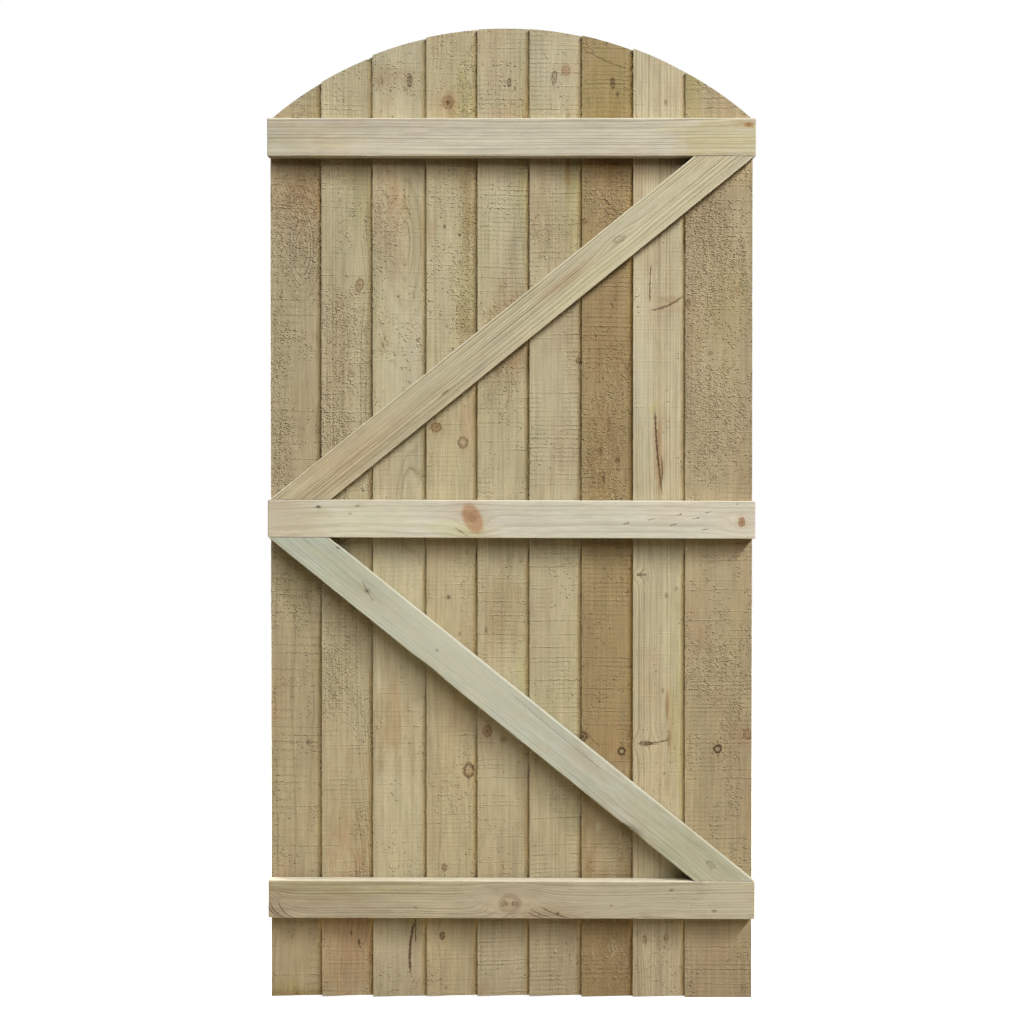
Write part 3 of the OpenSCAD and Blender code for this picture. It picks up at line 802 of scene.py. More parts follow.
def softwood_material(name, look, seed, lap=(0.0, 0.0, 0.0)):
    """A timber's own material: its knots, figure, patches and cracks, then the shared softwood group.
    lap is how far across it the next board's edge lies, how far along it the lower brace's underside
    crosses that edge, and where it ends there."""
    made = groups()
    material = bpy.data.materials.new(name)
    material.use_nodes = True
    net = Net(material.node_tree)
    shader = material.node_tree.nodes["Principled BSDF"]
    timber = net.add("ShaderNodeAttribute", {}, attribute_name="timber").outputs["Vector"]
    arris = net.add("ShaderNodeAttribute", {}, attribute_name="arris").outputs["Fac"]
    end = net.add("ShaderNodeAttribute", {}, attribute_name="end").outputs["Fac"]
    ragged = net.place(made["raggedness"], Timber=timber, Seed=float(seed))
    masks = {}
    for knot in marks(Knot, look.knots):
        if knot.radius <= SMALL_KNOT:
            # The grain runs straight past the smallest knots, and each is just a dark spot
            out = net.place(
                made["patch"], Timber=timber, Ragged=ragged["Ragged"], Across=knot.across * MM,
                Along=knot.along * MM, Wide=knot.radius * MM, Long=knot.radius * knot.stretch * MM,
                Strength=max(knot.rim, knot.heart), Mask=masks.get("Dark", 0.0),
            )
            masks["Dark"] = out["Mask"]
            continue
        out = net.place(
            made["knot"], Timber=timber, Wobble=ragged["Wobble"], Across=knot.across * MM,
            Along=knot.along * MM, Radius=knot.radius * MM, Stretch=knot.stretch, Lean=knot.lean,
            Rim=knot.rim, Heart=knot.heart, Stain=knot.red, **masks,
        )
        masks = {key: out[key] for key in KNOT_MASKS}
    for figure in marks(Figure, look.figures):
        out = net.place(
            made["figure"], Timber=timber, Across=figure.across * MM, Along=figure.along * MM,
            Wide=figure.wide * MM, Long=figure.long * MM, Swell=figure.rings * look.heart.ring * MM,
            Pull=masks.get("Pull", 0.0), Shown=masks.get("Shown", 0.0),
        )
        masks["Pull"], masks["Shown"] = out["Pull"], out["Shown"]
    patches = {}
    for kind in PATCH_KINDS:
        for patch in marks(Patch, getattr(look, kind.lower())):
            out = net.place(
                made["patch"], Timber=timber, Ragged=ragged["Ragged"], Across=patch.across * MM,
                Along=patch.along * MM, Wide=patch.wide * MM, Long=patch.long * MM,
                Strength=patch.strength, Mask=patches.get(kind, 0.0),
            )
            patches[kind] = out["Mask"]
    cracked = 0.0
    for crack in marks(Crack, look.cracks):
        ends = {"To across": crack.to_across * MM, "To along": crack.to_along * MM}
        out = net.place(
            made["crack"], Timber=timber, Wobble=ragged["Wobble"], Across=crack.across * MM,
            Along=crack.along * MM, Bow=crack.bow * MM, Wide=crack.wide * MM, Tone=crack.tone,
            Mask=cracked, **ends,
        )
        cracked = out["Mask"]
    heart = look.heart
    wood = net.place(
        made["softwood"], Timber=timber, Seed=float(seed), Arris=arris, End=end,
        Crack=cracked, Pale=(*colour(look.pale), 1.0), Late=(*colour(look.late), 1.0),
        Heart=(heart.across * MM, heart.depth * MM, 0.0), Slope=heart.slope, Wander=heart.wander * MM,
        Ring=heart.ring * MM, Rings=look.rings, Saw=look.saw, Pitch=look.pitch * MM, Fuzz=look.fuzz,
        Lap=lap, Bleach=look.bleach, **masks, **patches,
    )
    bump = net.add("ShaderNodeBump", {"Strength": 1.0, "Distance": 1.0, "Height": wood["Height"]})
    net.feed(shader.inputs["Base Color"], wood["Colour"])
    net.feed(shader.inputs["Roughness"], wood["Roughness"])
    net.feed(shader.inputs["Normal"], bump.outputs["Normal"])
    net.feed(shader.inputs["Specular IOR Level"], 0.25)
    return material


def galvanised_material(settings):
    """Dull zinc with a faint spangle."""
    material = bpy.data.materials.new("galvanised")
    material.use_nodes = True
    net = Net(material.node_tree)
    shader = material.node_tree.nodes["Principled BSDF"]
    place = net.add("ShaderNodeTexCoord", {}).outputs["Object"]
    spangle = net.noise(place, (900, 900, 900), 2.0)
    tone = net.ease(spangle, 0.3, 0.7)
    net.feed(shader.inputs["Base Color"], net.mix(tone, tuple(settings.dull), tuple(settings.bright)))
    net.feed(shader.inputs["Metallic"], 0.85)
    net.feed(shader.inputs["Roughness"], net.ease(spangle, 0.3, 0.7, 0.6, 0.45))
    return material


def sliver_material(settings):
    """Torn fibres, each as pale as the fresh wood below the treatment."""
    material = bpy.data.materials.new("torn_fibre")
    material.use_nodes = True
    net = Net(material.node_tree)
    shader = material.node_tree.nodes["Principled BSDF"]
    place = net.add("ShaderNodeTexCoord", {}).outputs["Object"]
    tone = net.ease(net.noise(place, (70, 70, 40), 2.0), 0.35, 0.65)
    net.feed(shader.inputs["Base Color"], net.mix(tone, tuple(settings.dark), tuple(settings.pale)))
    net.feed(shader.inputs["Roughness"], 0.8)
    net.feed(shader.inputs["Specular IOR Level"], 0.2)
    return material


# ---------------------------------------------------------------------------
# Shapes
# ---------------------------------------------------------------------------


# Smaller than any length in the gate, and kept out of divisions by nothing
TINY = 1e-9

# Where the first lattice lines lie inside an edge, in arris radii
EDGE_LINES = np.array([0, 0.45, 1, 2])

# How much of a timber's half thickness its rounded edges leave
FLAT_LEFT = 0.0003

# The four long edges read the wear's noise this many lattice lines apart, across and deep
NEXT_EDGE = (7.5, 3.5)

# The length of a chip in an edge, and the length and width of the broad and fine wear of a face
CHIP_LENGTH = 0.019
BROAD_WEAR = (0.11, 0.06)
FINE_WEAR = (0.016, 0.013)

# Faces that meet at less than these angles are shaded as one, on timber and on nails
TIMBER_CREASE = math.radians(50)
NAIL_CREASE = math.radians(40)


def smooth(t):
    """The smooth step: 0 at 0, 1 at 1, and level at both."""
    return t * t * (3 - 2 * t)


def noise2(u, v, seed):
    """Noise from -1 to 1: random values on a unit lattice, blended by the smooth step of the
    distance between lattice points."""
    size = 128
    table = np.random.default_rng(seed).uniform(-1, 1, (size, size))
    i = np.floor(u).astype(int)
    j = np.floor(v).astype(int)
    s, t = smooth(u - i), smooth(v - j)
    i, j, i2, j2 = i % size, j % size, (i + 1) % size, (j + 1) % size
    low = table[i, j] * (1 - s) + table[i2, j] * s
    high = table[i, j2] * (1 - s) + table[i2, j2] * s
    return low * (1 - t) + high * t


def box_lattice(shape):
    """The surface of a box cut by shape's numbers of lattice lines: the line numbers of each point
    on it, and quads that face outwards."""
    place = np.indices(shape)
    on_surface = np.zeros(shape, bool)
    for p, count in zip(place, shape):
        on_surface |= (p == 0) | (p == count - 1)
    ids = np.full(shape, -1)
    ids[on_surface] = np.arange(on_surface.sum())
    quads = []
    for side, outward in (
        (ids[0], False), (ids[-1], True), (ids[:, 0], True),
        (ids[:, -1], False), (ids[:, :, 0], False), (ids[:, :, -1], True),
    ):
        corners = [side[:-1, :-1], side[1:, :-1], side[1:, 1:], side[:-1, 1:]]
        quad = np.stack(corners, -1).reshape(-1, 4)
        quads.append(quad if outward else quad[:, ::-1])
    return [p[on_surface] for p in place], np.concatenate(quads)


def lattice_lines(length, edge, step):
    """Places from 0 to length: close together within edge of each end, then about step apart."""
    near = EDGE_LINES * edge
    inner = np.linspace(near[-1], length - near[-1], max(2, round(length / step)))[1:-1]
    return np.concatenate([near, inner, (length - near)[::-1]])


# A timber's place: the corner that it is measured from, its directions across, deep and along, its
# width, its thickness at the near and far edge, and where it starts and ends for a place across it
Timber = namedtuple("Timber", "corner across deep along width near far start end")


def timber_mesh(name, timber, settings, worn_by, dents, seed):
    """A closed timber. A lattice over the surface of a box is spread over the timber's width,
    thickness and length. Its long edges are rounded: each point is measured from an inner rectangle
    that lies the arris radius inside, and drawn in to that radius. Then smooth noise, chips and
    dents wear the faces inwards. worn_by is the arris, the depth of the chips and of the wear."""
    arris, chip, wear = worn_by
    columns = lattice_lines(timber.width, arris, settings.column_step)
    thin = min(timber.near, timber.far)
    layers = EDGE_LINES[:3] * arris / thin
    layers = np.concatenate([layers, [0.5], (1 - layers)[::-1]])
    corners = np.array([0, timber.width])
    length = float(np.max(timber.end(corners, 0 * corners)) - np.min(timber.start(corners, 0 * corners)))
    rows = lattice_lines(length, arris, settings.row_step)
    (i, j, k), quads = box_lattice((len(columns), len(layers), len(rows)))
    a = columns[i]
    thick = timber.near + (timber.far - timber.near) * a / timber.width
    d = layers[j] * thick
    sawn_end = (k == 0) | (k == len(rows) - 1)
    # Rows keep their distance from each end, and spread between
    start, end = timber.start(a, d), timber.end(a, d)
    s = start + rows[k] + (end - start - length) * smooth(rows[k] / length)
    edge = (a > timber.width / 2) * NEXT_EDGE[0] + (d > thick / 2) * NEXT_EDGE[1]
    chips = np.clip(noise2(s / CHIP_LENGTH, edge, seed), 0, 1) ** 2 * chip
    radius = np.minimum(arris + chips, thick / 2 - FLAT_LEFT)
    centre_a = np.clip(a, radius, timber.width - radius)
    centre_d = np.clip(d, radius, thick - radius)
    off_a, off_d = a - centre_a, d - centre_d
    reach = np.hypot(off_a, off_d)
    outwards = np.maximum(reach, TINY)
    drawn = np.maximum(abs(off_a), abs(off_d)) / outwards
    a = centre_a + off_a * drawn
    d = centre_d + off_d * drawn
    # How far a point is worn inwards, and which way that is
    normal_a, normal_d = off_a / outwards, off_d / outwards
    broad = noise2(s / BROAD_WEAR[0], a / BROAD_WEAR[1] + edge, seed + 1)
    fine = noise2(s / FINE_WEAR[0], a / FINE_WEAR[1] + edge, seed + 2)
    # From nothing to the whole depth, three fifths of it broad and two fifths fine
    worn = (1 + 0.6 * broad + 0.4 * fine) / 2 * wear
    for dent in marks(Dent, dents):
        off_across = (a - dent.across * MM) / (dent.wide * MM)
        off_along = (s - dent.along * MM) / (dent.long * MM)
        dip = np.exp(-(off_across**2 + off_along**2))
        worn = worn + dent.deep * MM * dip * (d < thick / 2)
    worn = worn + sawn_end * arris * 0.5
    # Only points on the surface are worn, and not those inside an end
    on_side = reach > arris * 0.9
    a = a - normal_a * worn * on_side
    d = d - normal_d * worn * on_side
    local = np.stack([a, d, s], -1)
    axes = np.array([timber.across, timber.deep, timber.along])
    points = np.array(timber.corner) + local @ axes
    mesh = bpy.data.meshes.new(name)
    mesh.from_pydata(points.tolist(), [], quads.tolist())
    mesh.polygons.foreach_set("use_smooth", np.ones(len(quads), bool))
    mesh.set_sharp_from_angle(angle=TIMBER_CREASE)
    place = mesh.attributes.new("timber", "FLOAT_VECTOR", "POINT")
    place.data.foreach_set("vector", local.astype(np.float32).ravel())
    # A point is on a long edge where its face slants both ways
    rounded = (abs(normal_a) > 0.1) & (abs(normal_d) > 0.1)
    mask = mesh.attributes.new("arris", "FLOAT", "POINT")
    mask.data.foreach_set("value", rounded.astype(np.float32))
    ends = np.isin(k[quads], (0,)).all(1) | np.isin(k[quads], (len(rows) - 1,)).all(1)
    mask = mesh.attributes.new("end", "FLOAT", "FACE")
    mask.data.foreach_set("value", ends.astype(np.float32))
    return mesh


def dress(node, timber, finish, look, seed, settings, lap=(0.0, 0.0, 0.0)):
    """Gives a timber its mesh and its wood, sawn or planed. A mesh takes three seeds in a row, so
    the timbers' seeds are spread out."""
    worn_by = [getattr(settings, finish + part) for part in ("_arris", "_chip", "_wear")]
    name = node + "_" + finish
    mesh = timber_mesh(name, timber, settings, worn_by, look.dents, seed * 10)
    add_piece(name, mesh, softwood_material(node + "_wood", look, seed, lap), [node])


def add_piece(name, mesh, material, replaced=()):
    """Puts a piece of the gate in the scene."""
    made = bpy.data.objects.new(name, mesh)
    bpy.context.scene.collection.objects.link(made)
    mesh.materials.append(material)
    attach(made, "root")
    if replaced:
        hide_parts(*replaced)
    return made


def leaf_middle():
    """Middle of the leaf along X, and half the width of the boards together."""
    low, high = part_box("top_ledge")
    middle = (low.x + high.x) / 2
    return middle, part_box(BOARDS[-1])[1].x - middle


def board_timber(node, settings):
    """A board, measured from the foot of its thin edge's back corner. How deep its CAD box is gives
    its lean, since it leans on the next board. Its top is a stretch of the arch's circle, as high
    as its box."""
    low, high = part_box(node)
    width, thick = settings.board_width, settings.thick_edge
    lean = math.asin((high.y - low.y) / math.hypot(width, thick)) - math.atan2(thick, width)
    across = Vector((math.cos(lean), math.sin(lean), 0))
    deep = Vector((-math.sin(lean), math.cos(lean), 0))
    corner = Vector((high.x - width * math.cos(lean), low.y, low.z))
    middle, half = leaf_middle()
    radius = (half**2 + settings.arch_rise**2) / (2 * settings.arch_rise)
    crown = min(max(middle, low.x), high.x) - middle

    def top(a, d):
        off = corner.x + a * across.x + d * deep.x - middle
        return high.z - corner.z + np.sqrt(radius**2 - off**2) - math.sqrt(radius**2 - crown**2)

    return Timber(
        corner, across, deep, Vector((0, 0, 1)), width, settings.thin_edge, thick,
        lambda a, d: 0 * a, top,
    )


def ledge_dip(node, settings):
    """How far a ledge dips towards the latch side. Only the top one is level."""
    return 0.0 if node == "top_ledge" else settings.ledge_dip


def ledge_timber(node, settings):
    """A ledge, measured from the hinge-side end of its upper edge. A bar that dips just fills its
    CAD box, which gives its length and width."""
    low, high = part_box(node)
    size, centre = high - low, (low + high) / 2
    dip = ledge_dip(node, settings)
    sine, cosine = math.sin(dip), math.cos(dip)
    length = (size.x * cosine - size.z * sine) / math.cos(2 * dip)
    width = (size.z * cosine - size.x * sine) / math.cos(2 * dip)
    across, along = Vector((-sine, 0, -cosine)), Vector((cosine, 0, -sine))
    corner = centre - along * length / 2 - across * width / 2
    corner.y = low.y
    return Timber(
        corner, across, Vector((0, 1, 0)), along, width, size.y, size.y,
        lambda a, d: 0 * a, lambda a, d: 0 * a + length,
    )


def brace_timber(node, settings):
    """A brace, measured from its upper edge. Its slope is that of a bar whose ends just fill the
    clear height between two ledges, and it is cut along the ledges and the boards' outer edges."""
    middle, half = leaf_middle()
    width, gap = settings.brace_width, settings.brace_gap
    top_low, top_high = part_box("top_ledge")
    ledge = top_high.z - top_low.z
    centres = {name: sum(corner.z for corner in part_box(name)) / 2 for name in LEDGES}
    rise = centres["middle_ledge"] - centres["bottom_ledge"] - ledge
    slope = math.atan2(rise, 2 * half) + math.asin(width / math.hypot(2 * half, rise))
    sine, cosine = math.sin(slope), math.cos(slope)
    if node == "upper_brace":
        across, along = Vector((sine, 0, -cosine)), Vector((cosine, 0, sine))
        corner = Vector((middle - half, top_low.y, centres["middle_ledge"] + ledge / 2))
        ends = [("middle_ledge", 1), ("top_ledge", -1)]
    else:
        across, along = Vector((-sine, 0, -cosine)), Vector((cosine, 0, -sine))
        corner = Vector((middle - half + width / sine, top_low.y, centres["middle_ledge"] - ledge / 2))
        ends = [("middle_ledge", -1), ("bottom_ledge", 1)]

    def cut(a, node, side):
        """How far along the brace a ledge's upper (side 1) or lower (side -1) edge crosses it."""
        tangent = math.tan(ledge_dip(node, settings))
        x, z = corner.x + a * across.x, corner.z + a * across.z
        line = centres[node] + side * (ledge / 2 + gap) - tangent * (x - middle)
        return (line - z) / (along.z + tangent * along.x)

    def outer_edge(a, side):
        return (middle + side * half - corner.x - a * across.x) / along.x

    return Timber(
        corner, across, Vector((0, 1, 0)), along, width, top_high.y - top_low.y, top_high.y - top_low.y,
        lambda a, d: np.maximum(cut(a, *ends[0]), outer_edge(a, -1)),
        lambda a, d: np.minimum(cut(a, *ends[1]), outer_edge(a, 1)),
    )


def spikes(bases, tips, widths, name):
    """A mesh of closed three-sided spikes, each from a small triangle round its base to its tip."""
    run = tips - bases
    run = run / np.linalg.norm(run, axis=1, keepdims=True)
    # Any direction that no spike runs along gives its sides
    side = np.cross(run, (0.3, 1.0, 0.1))
    side = side / np.linalg.norm(side, axis=1, keepdims=True)
    other = np.cross(run, side)
    turns = np.arange(3) * 2 * math.pi / 3
    ring = [
        bases + (side * math.cos(t) + other * math.sin(t)) * widths[:, None] / 2 for t in turns
    ]
    points = np.stack([*ring, tips], 1).reshape(-1, 3)
    faces = np.array([[0, 1, 3], [1, 2, 3], [2, 0, 3], [2, 1, 0]])
    faces = (np.arange(len(bases))[:, None, None] * 4 + faces).reshape(-1, 3)
    mesh = bpy.data.meshes.new(name)
    mesh.from_pydata(points.tolist(), [], faces.tolist())
    return mesh


# ---------------------------------------------------------------------------
# Settings
# ---------------------------------------------------------------------------


class GateTimberSettings(bpy.types.PropertyGroup):
    """Sizes shared by the boards, ledges and braces."""

    board_width: FloatProperty(
        name="Board width", description="Width of each feather-edge board", default=0.125, unit="LENGTH"
    )
    thin_edge: FloatProperty(
        name="Thin edge", description="Thickness of a board at its thin edge", default=0.008,
        unit="LENGTH",
    )
    thick_edge: FloatProperty(
        name="Thick edge", description="Thickness of a board at its thick edge", default=0.012,
        unit="LENGTH",
    )
    arch_rise: FloatProperty(
        name="Arch rise", description="Height of the arch above its springing", default=0.169,
        unit="LENGTH",
    )
    brace_width: FloatProperty(
        name="Brace width", description="Width of a brace's outer face", default=0.07, unit="LENGTH"
    )
    brace_gap: FloatProperty(
        name="Brace gap", description="Clearance at a brace's cut ends", default=0.0002, unit="LENGTH"
    )
    ledge_dip: FloatProperty(
        name="Ledge dip", description="How far the lower ledges dip", default=math.radians(0.19),
        subtype="ANGLE",
    )
    sawn_arris: FloatProperty(
        name="Sawn arris", description="Wear of a sawn board's edges", default=0.0007, unit="LENGTH"
    )
    sawn_chip: FloatProperty(
        name="Sawn chips", description="Chips in a sawn board's edges", default=0.0009, unit="LENGTH"
    )
    sawn_wear: FloatProperty(
        name="Sawn wear", description="Unevenness of a sawn board's faces", default=0.0005, unit="LENGTH"
    )
    planed_arris: FloatProperty(
        name="Planed arris", description="Radius of a planed timber's edges", default=0.0018,
        unit="LENGTH",
    )
    planed_chip: FloatProperty(
        name="Planed chips", description="Chips in a planed timber's edges", default=0.0002, unit="LENGTH"
    )
    planed_wear: FloatProperty(
        name="Planed wear", description="Unevenness of planed faces", default=0.0003, unit="LENGTH"
    )
    column_step: FloatProperty(
        name="Column step", description="Space between mesh columns", default=0.0055, unit="LENGTH"
    )
    row_step: FloatProperty(
        name="Row step", description="Space between mesh rows", default=0.0042, unit="LENGTH"
    )


class GateSliverSettings(bpy.types.PropertyGroup):
    """Torn fibres."""

    edge_count: IntProperty(
        name="Edge slivers", description="Slivers along each lapped edge", default=170
    )
    patch_count: IntProperty(name="Patch slivers", description="Slivers in each torn patch", default=260)
    width: FloatProperty(name="Width", description="Width of a sliver", default=0.0005, unit="LENGTH")
    length: FloatProperty(
        name="Length", description="Usual length of a sliver", default=0.009, unit="LENGTH"
    )
    pale: FloatVectorProperty(
        name="Pale", description="Colour of a clean fibre", default=colour("#d3c5a2"), subtype="COLOR"
    )
    dark: FloatVectorProperty(
        name="Dark", description="Colour of a treated fibre", default=colour("#a4916a"), subtype="COLOR"
    )


class GateNailSettings(bpy.types.PropertyGroup):
    """Galvanised nails through the boards."""

    head: FloatProperty(
        name="Head", description="Diameter of a nail's head", default=0.0065, unit="LENGTH"
    )
    rise: FloatProperty(
        name="Rise", description="How far a head stands proud", default=0.0006, unit="LENGTH"
    )
    first: FloatProperty(
        name="First nail", description="Distance from a board's thin edge", default=0.05, unit="LENGTH"
    )
    second: FloatProperty(
        name="Second nail", description="Distance from a board's thin edge", default=0.098, unit="LENGTH"
    )
    spread: FloatProperty(
        name="Spread", description="How far above or below a ledge's middle", default=0.014, unit="LENGTH"
    )
    end_room: FloatProperty(
        name="End room", description="Height kept clear at a brace's ends", default=0.03, unit="LENGTH"
    )
    bright: FloatVectorProperty(
        name="Bright", description="Colour of clean zinc", default=colour("#b9bcbc"), subtype="COLOR"
    )
    dull: FloatVectorProperty(
        name="Dull", description="Colour of weathered zinc", default=colour("#85898a"), subtype="COLOR"
    )


class GateStageSettings(bpy.types.PropertyGroup):
    """Camera, lamps and floor."""

    camera_place: FloatVectorProperty(
        name="Camera", description="Where the camera stands", default=(0.4158, -4.075, 0.7726),
        subtype="XYZ",
    )
    camera_dip: FloatProperty(
        name="Dip", description="How far the camera looks down", default=0.0136, subtype="ANGLE"
    )
    lens: FloatProperty(name="Lens", description="Focal length in millimetres", default=77.63)
    key_level: FloatProperty(
        name="Key level", description="How brightly the key light lights the ledges' side", default=0.878
    )
    key_distance: FloatProperty(
        name="Key distance", description="Distance of the key light", default=11, unit="LENGTH"
    )
    key_width: FloatProperty(
        name="Key width", description="Width of the key light's strip", default=1.21, unit="LENGTH"
    )
    fill: FloatProperty(
        name="Fill", description="Brightness of the room on the ledges' side", default=0.015
    )
    back_fill: FloatProperty(name="Back fill", description="Brightness of the room behind", default=0.8)
    bounce: FloatProperty(
        name="Bounce", description="Share of light that the floor throws back", default=0.5
    )
    bounce_reach: FloatProperty(
        name="Bounce reach", description="How far out the floor throws light back", default=2.4,
        unit="LENGTH",
    )
    bounce_tint: FloatVectorProperty(
        name="Bounce tint", description="Colour of the light off the floor", default=(1.0, 0.85, 0.6),
        subtype="COLOR",
    )
    floor: FloatVectorProperty(
        name="Floor", description="Colour of the floor", default=colour("#e4e4e2"), subtype="COLOR"
    )


# ---------------------------------------------------------------------------
# Operators
# ---------------------------------------------------------------------------

# The first seed of the ledges and of the braces. A board's seed is its number.
LEDGE_SEED = 21
BRACE_SEED = 31


class GATE_OT_boards(bpy.types.Operator):
    """Dresses the nine feather-edge boards"""

    bl_idname = "gate.boards"
    bl_label = "Boards"

    def execute(self, context):
        settings = context.scene.gate_timber
        brace = brace_timber("lower_brace", settings)
        for number, node in enumerate(BOARDS, 1):
            timber = board_timber(node, settings)
            following = BOARDS[min(number, len(BOARDS) - 1)]
            reach = board_timber(following, settings).corner.x - timber.corner.x
            # Nothing laps over the last board, so its lap is put well past its edge
            lap = reach if reach > 0 else 2 * settings.board_width
            # How far up the board the lower brace's underside crosses that lap
            shade = brace.corner.z + brace.width * brace.across.z - timber.corner.z
            run = timber.corner.x + lap - brace.corner.x - brace.width * brace.across.x
            shade += run * brace.along.z / brace.along.x
            top = float(timber.end(min(lap, timber.width), 0.0))
            where = (lap, shade, top)
            dress(node, timber, "sawn", BOARD_LOOKS[node], number, settings, where)
        return {"FINISHED"}


class GATE_OT_ledges(bpy.types.Operator):
    """Dresses the three ledges"""

    bl_idname = "gate.ledges"
    bl_label = "Ledges"

    def execute(self, context):
        settings = context.scene.gate_timber
        for seed, node in enumerate(LEDGES, LEDGE_SEED):
            timber = ledge_timber(node, settings)
            dress(node, timber, "planed", PLANED_LOOKS[node], seed, settings)
        return {"FINISHED"}


class GATE_OT_braces(bpy.types.Operator):
    """Dresses the two braces"""

    bl_idname = "gate.braces"
    bl_label = "Braces"

    def execute(self, context):
        settings = context.scene.gate_timber
        for seed, node in enumerate(BRACES, BRACE_SEED):
            timber = brace_timber(node, settings)
            dress(node, timber, "planed", PLANED_LOOKS[node], seed, settings)
        return {"FINISHED"}


def clear_of_frame(points, settings):
    """Whether each point is away from the ledges and braces."""
    clear = np.ones(len(points), bool)
    margin = 0.004
    for node in LEDGES:
        low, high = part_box(node)
        clear &= (points[:, 2] < low.z - margin) | (points[:, 2] > high.z + margin)
    for node in BRACES:
        timber = brace_timber(node, settings)
        across = (points - np.array(timber.corner)) @ np.array(timber.across)
        low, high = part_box(node)
        inside = (across > -margin) & (across < timber.width + margin)
        clear &= ~(inside & (points[:, 2] > low.z) & (points[:, 2] < high.z))
    return clear


# Torn fibres start this far inside a board's faces, and keep this far from its foot and top
SLIVER_ROOT = 0.0003
FOOT_ROOM = 0.01
EDGE_TOP_ROOM = 0.02
PATCH_TOP_ROOM = 0.03

# How far across and how deep in the thin edge an edge's fibres start, and the part of a board's
# width that shows between its neighbours, where a patch's fibres start
EDGE_ACROSS = 0.0004
EDGE_DEEP = 0.003
SHOWING = (0.003, 0.094)

# A patch's fibres gather within this share of its half width and half length
GATHERED = 0.55

# How far fibres lean sideways and outwards for each unit along the board, as a middle and a spread
EDGE_LEAN = (0.22, 0.1)
PATCH_LEAN = (0.35, 0.25)
PATCH_RISE = 0.16

# Where the fibres' and the nails' random draws start
SLIVER_SEED = 5
NAIL_SEED = 8


class GATE_OT_slivers(bpy.types.Operator):
    """Raises torn fibres along the boards' lapped edges and on their roughest patches"""

    bl_idname = "gate.slivers"
    bl_label = "Torn fibres"

    def execute(self, context):
        settings = context.scene.gate_slivers
        timbers = context.scene.gate_timber
        rng = np.random.default_rng(SLIVER_SEED)
        bases, runs = [], []
        for node in BOARDS:
            timber = board_timber(node, timbers)
            top = float(timber.end(np.array([0.0]), 0.0)[0])
            axes = np.array([timber.across, timber.deep, timber.along])
            tufts = []
            # Board 1 has nothing beside its thin edge, and its fibres there are worn away
            if node != BOARDS[0]:
                count = settings.edge_count
                a = 0 * rng.random(count) + EDGE_ACROSS
                d = rng.uniform(SLIVER_ROOT, EDGE_DEEP, count)
                s = rng.uniform(FOOT_ROOM, top - EDGE_TOP_ROOM, count)
                sideways = -abs(rng.normal(0, EDGE_LEAN[0], count))
                outwards = -abs(rng.normal(0, EDGE_LEAN[1], count))
                run = np.stack([sideways, outwards, rng.choice([-1, 1], count)], -1)
                tufts.append((np.stack([a, d, s], -1), run))
            for patch in marks(Patch, BOARD_LOOKS[node].torn):
                count = settings.patch_count
                a = rng.normal(patch.across, patch.wide * GATHERED, count) * MM
                s = rng.normal(patch.along, patch.long * GATHERED, count) * MM
                keep = (a > SHOWING[0]) & (a < SHOWING[1]) & (s > FOOT_ROOM) & (s < top - PATCH_TOP_ROOM)
                place = np.stack([a, 0 * a + SLIVER_ROOT, s], -1)[keep]
                count = len(place)
                sideways = rng.normal(*PATCH_LEAN, count)
                outwards = -rng.uniform(0.03, 1, count) * PATCH_RISE
                run = np.stack([sideways, outwards, -np.ones(count)], -1)
                tufts.append((place, run))
            for place, run in tufts:
                bases.append(np.array(timber.corner) + place @ axes)
                runs.append(run @ axes)
        bases, runs = np.concatenate(bases), np.concatenate(runs)
        keep = clear_of_frame(bases, timbers)
        bases, runs = bases[keep], runs[keep]
        runs = runs / np.linalg.norm(runs, axis=1, keepdims=True)
        lengths = settings.length * rng.lognormal(0, 0.5, len(bases))
        tips = bases + runs * lengths[:, None]
        keep = tips[:, 2] > CAD_BOX[0].z + 0.001
        bases, tips = bases[keep], tips[keep]
        widths = settings.width * rng.uniform(0.6, 1.5, len(bases))
        mesh = spikes(bases, tips, widths, "torn_fibres")
        add_piece("torn_fibres", mesh, sliver_material(settings))
        return {"FINISHED"}


# A nail's outline, from the top of its head to its foot: how far out, as a share of the head's
# radius, and how high, as a share of the head's rise
NAIL_OUTLINE = [
    (0, 1), (0.55, 0.97), (0.88, 0.8), (1, 0.45), (1, 0), (0.93, -0.6), (0.42, -1.1), (0.4, -3), (0, -3),
]
NAIL_TURNS = 14

# How far off its line a nail may be across and up, and how far its head tilts
NAIL_ASIDE = 0.003
NAIL_HIGH = 0.004
NAIL_TILT = 0.04


def nail_places(settings, timbers):
    """Each nail's board, how far across the board it is, and its height. There are two in each board
    at each ledge, one high and one low, and one where a brace crosses."""
    places = []
    for node in BOARDS:
        timber = board_timber(node, timbers)
        for across, side in ((settings.first, settings.spread), (settings.second, -settings.spread)):
            x = timber.corner.x + across * timber.across.x
            for ledge in LEDGES:
                low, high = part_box(ledge)
                drop = (x - leaf_middle()[0]) * math.tan(ledge_dip(ledge, timbers))
                places.append((timber, across, (low.z + high.z) / 2 - drop + side))
        across = (settings.first + settings.second) / 2
        x = timber.corner.x + across * timber.across.x
        for brace in BRACES:
            bar = brace_timber(brace, timbers)
            low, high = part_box(brace)
            middle = bar.corner + bar.across * (bar.width / 2)
            z = middle.z + (x - middle.x) * bar.along.z / bar.along.x
            if low.z + settings.end_room < z < high.z - settings.end_room:
                places.append((timber, across, z))
    return places


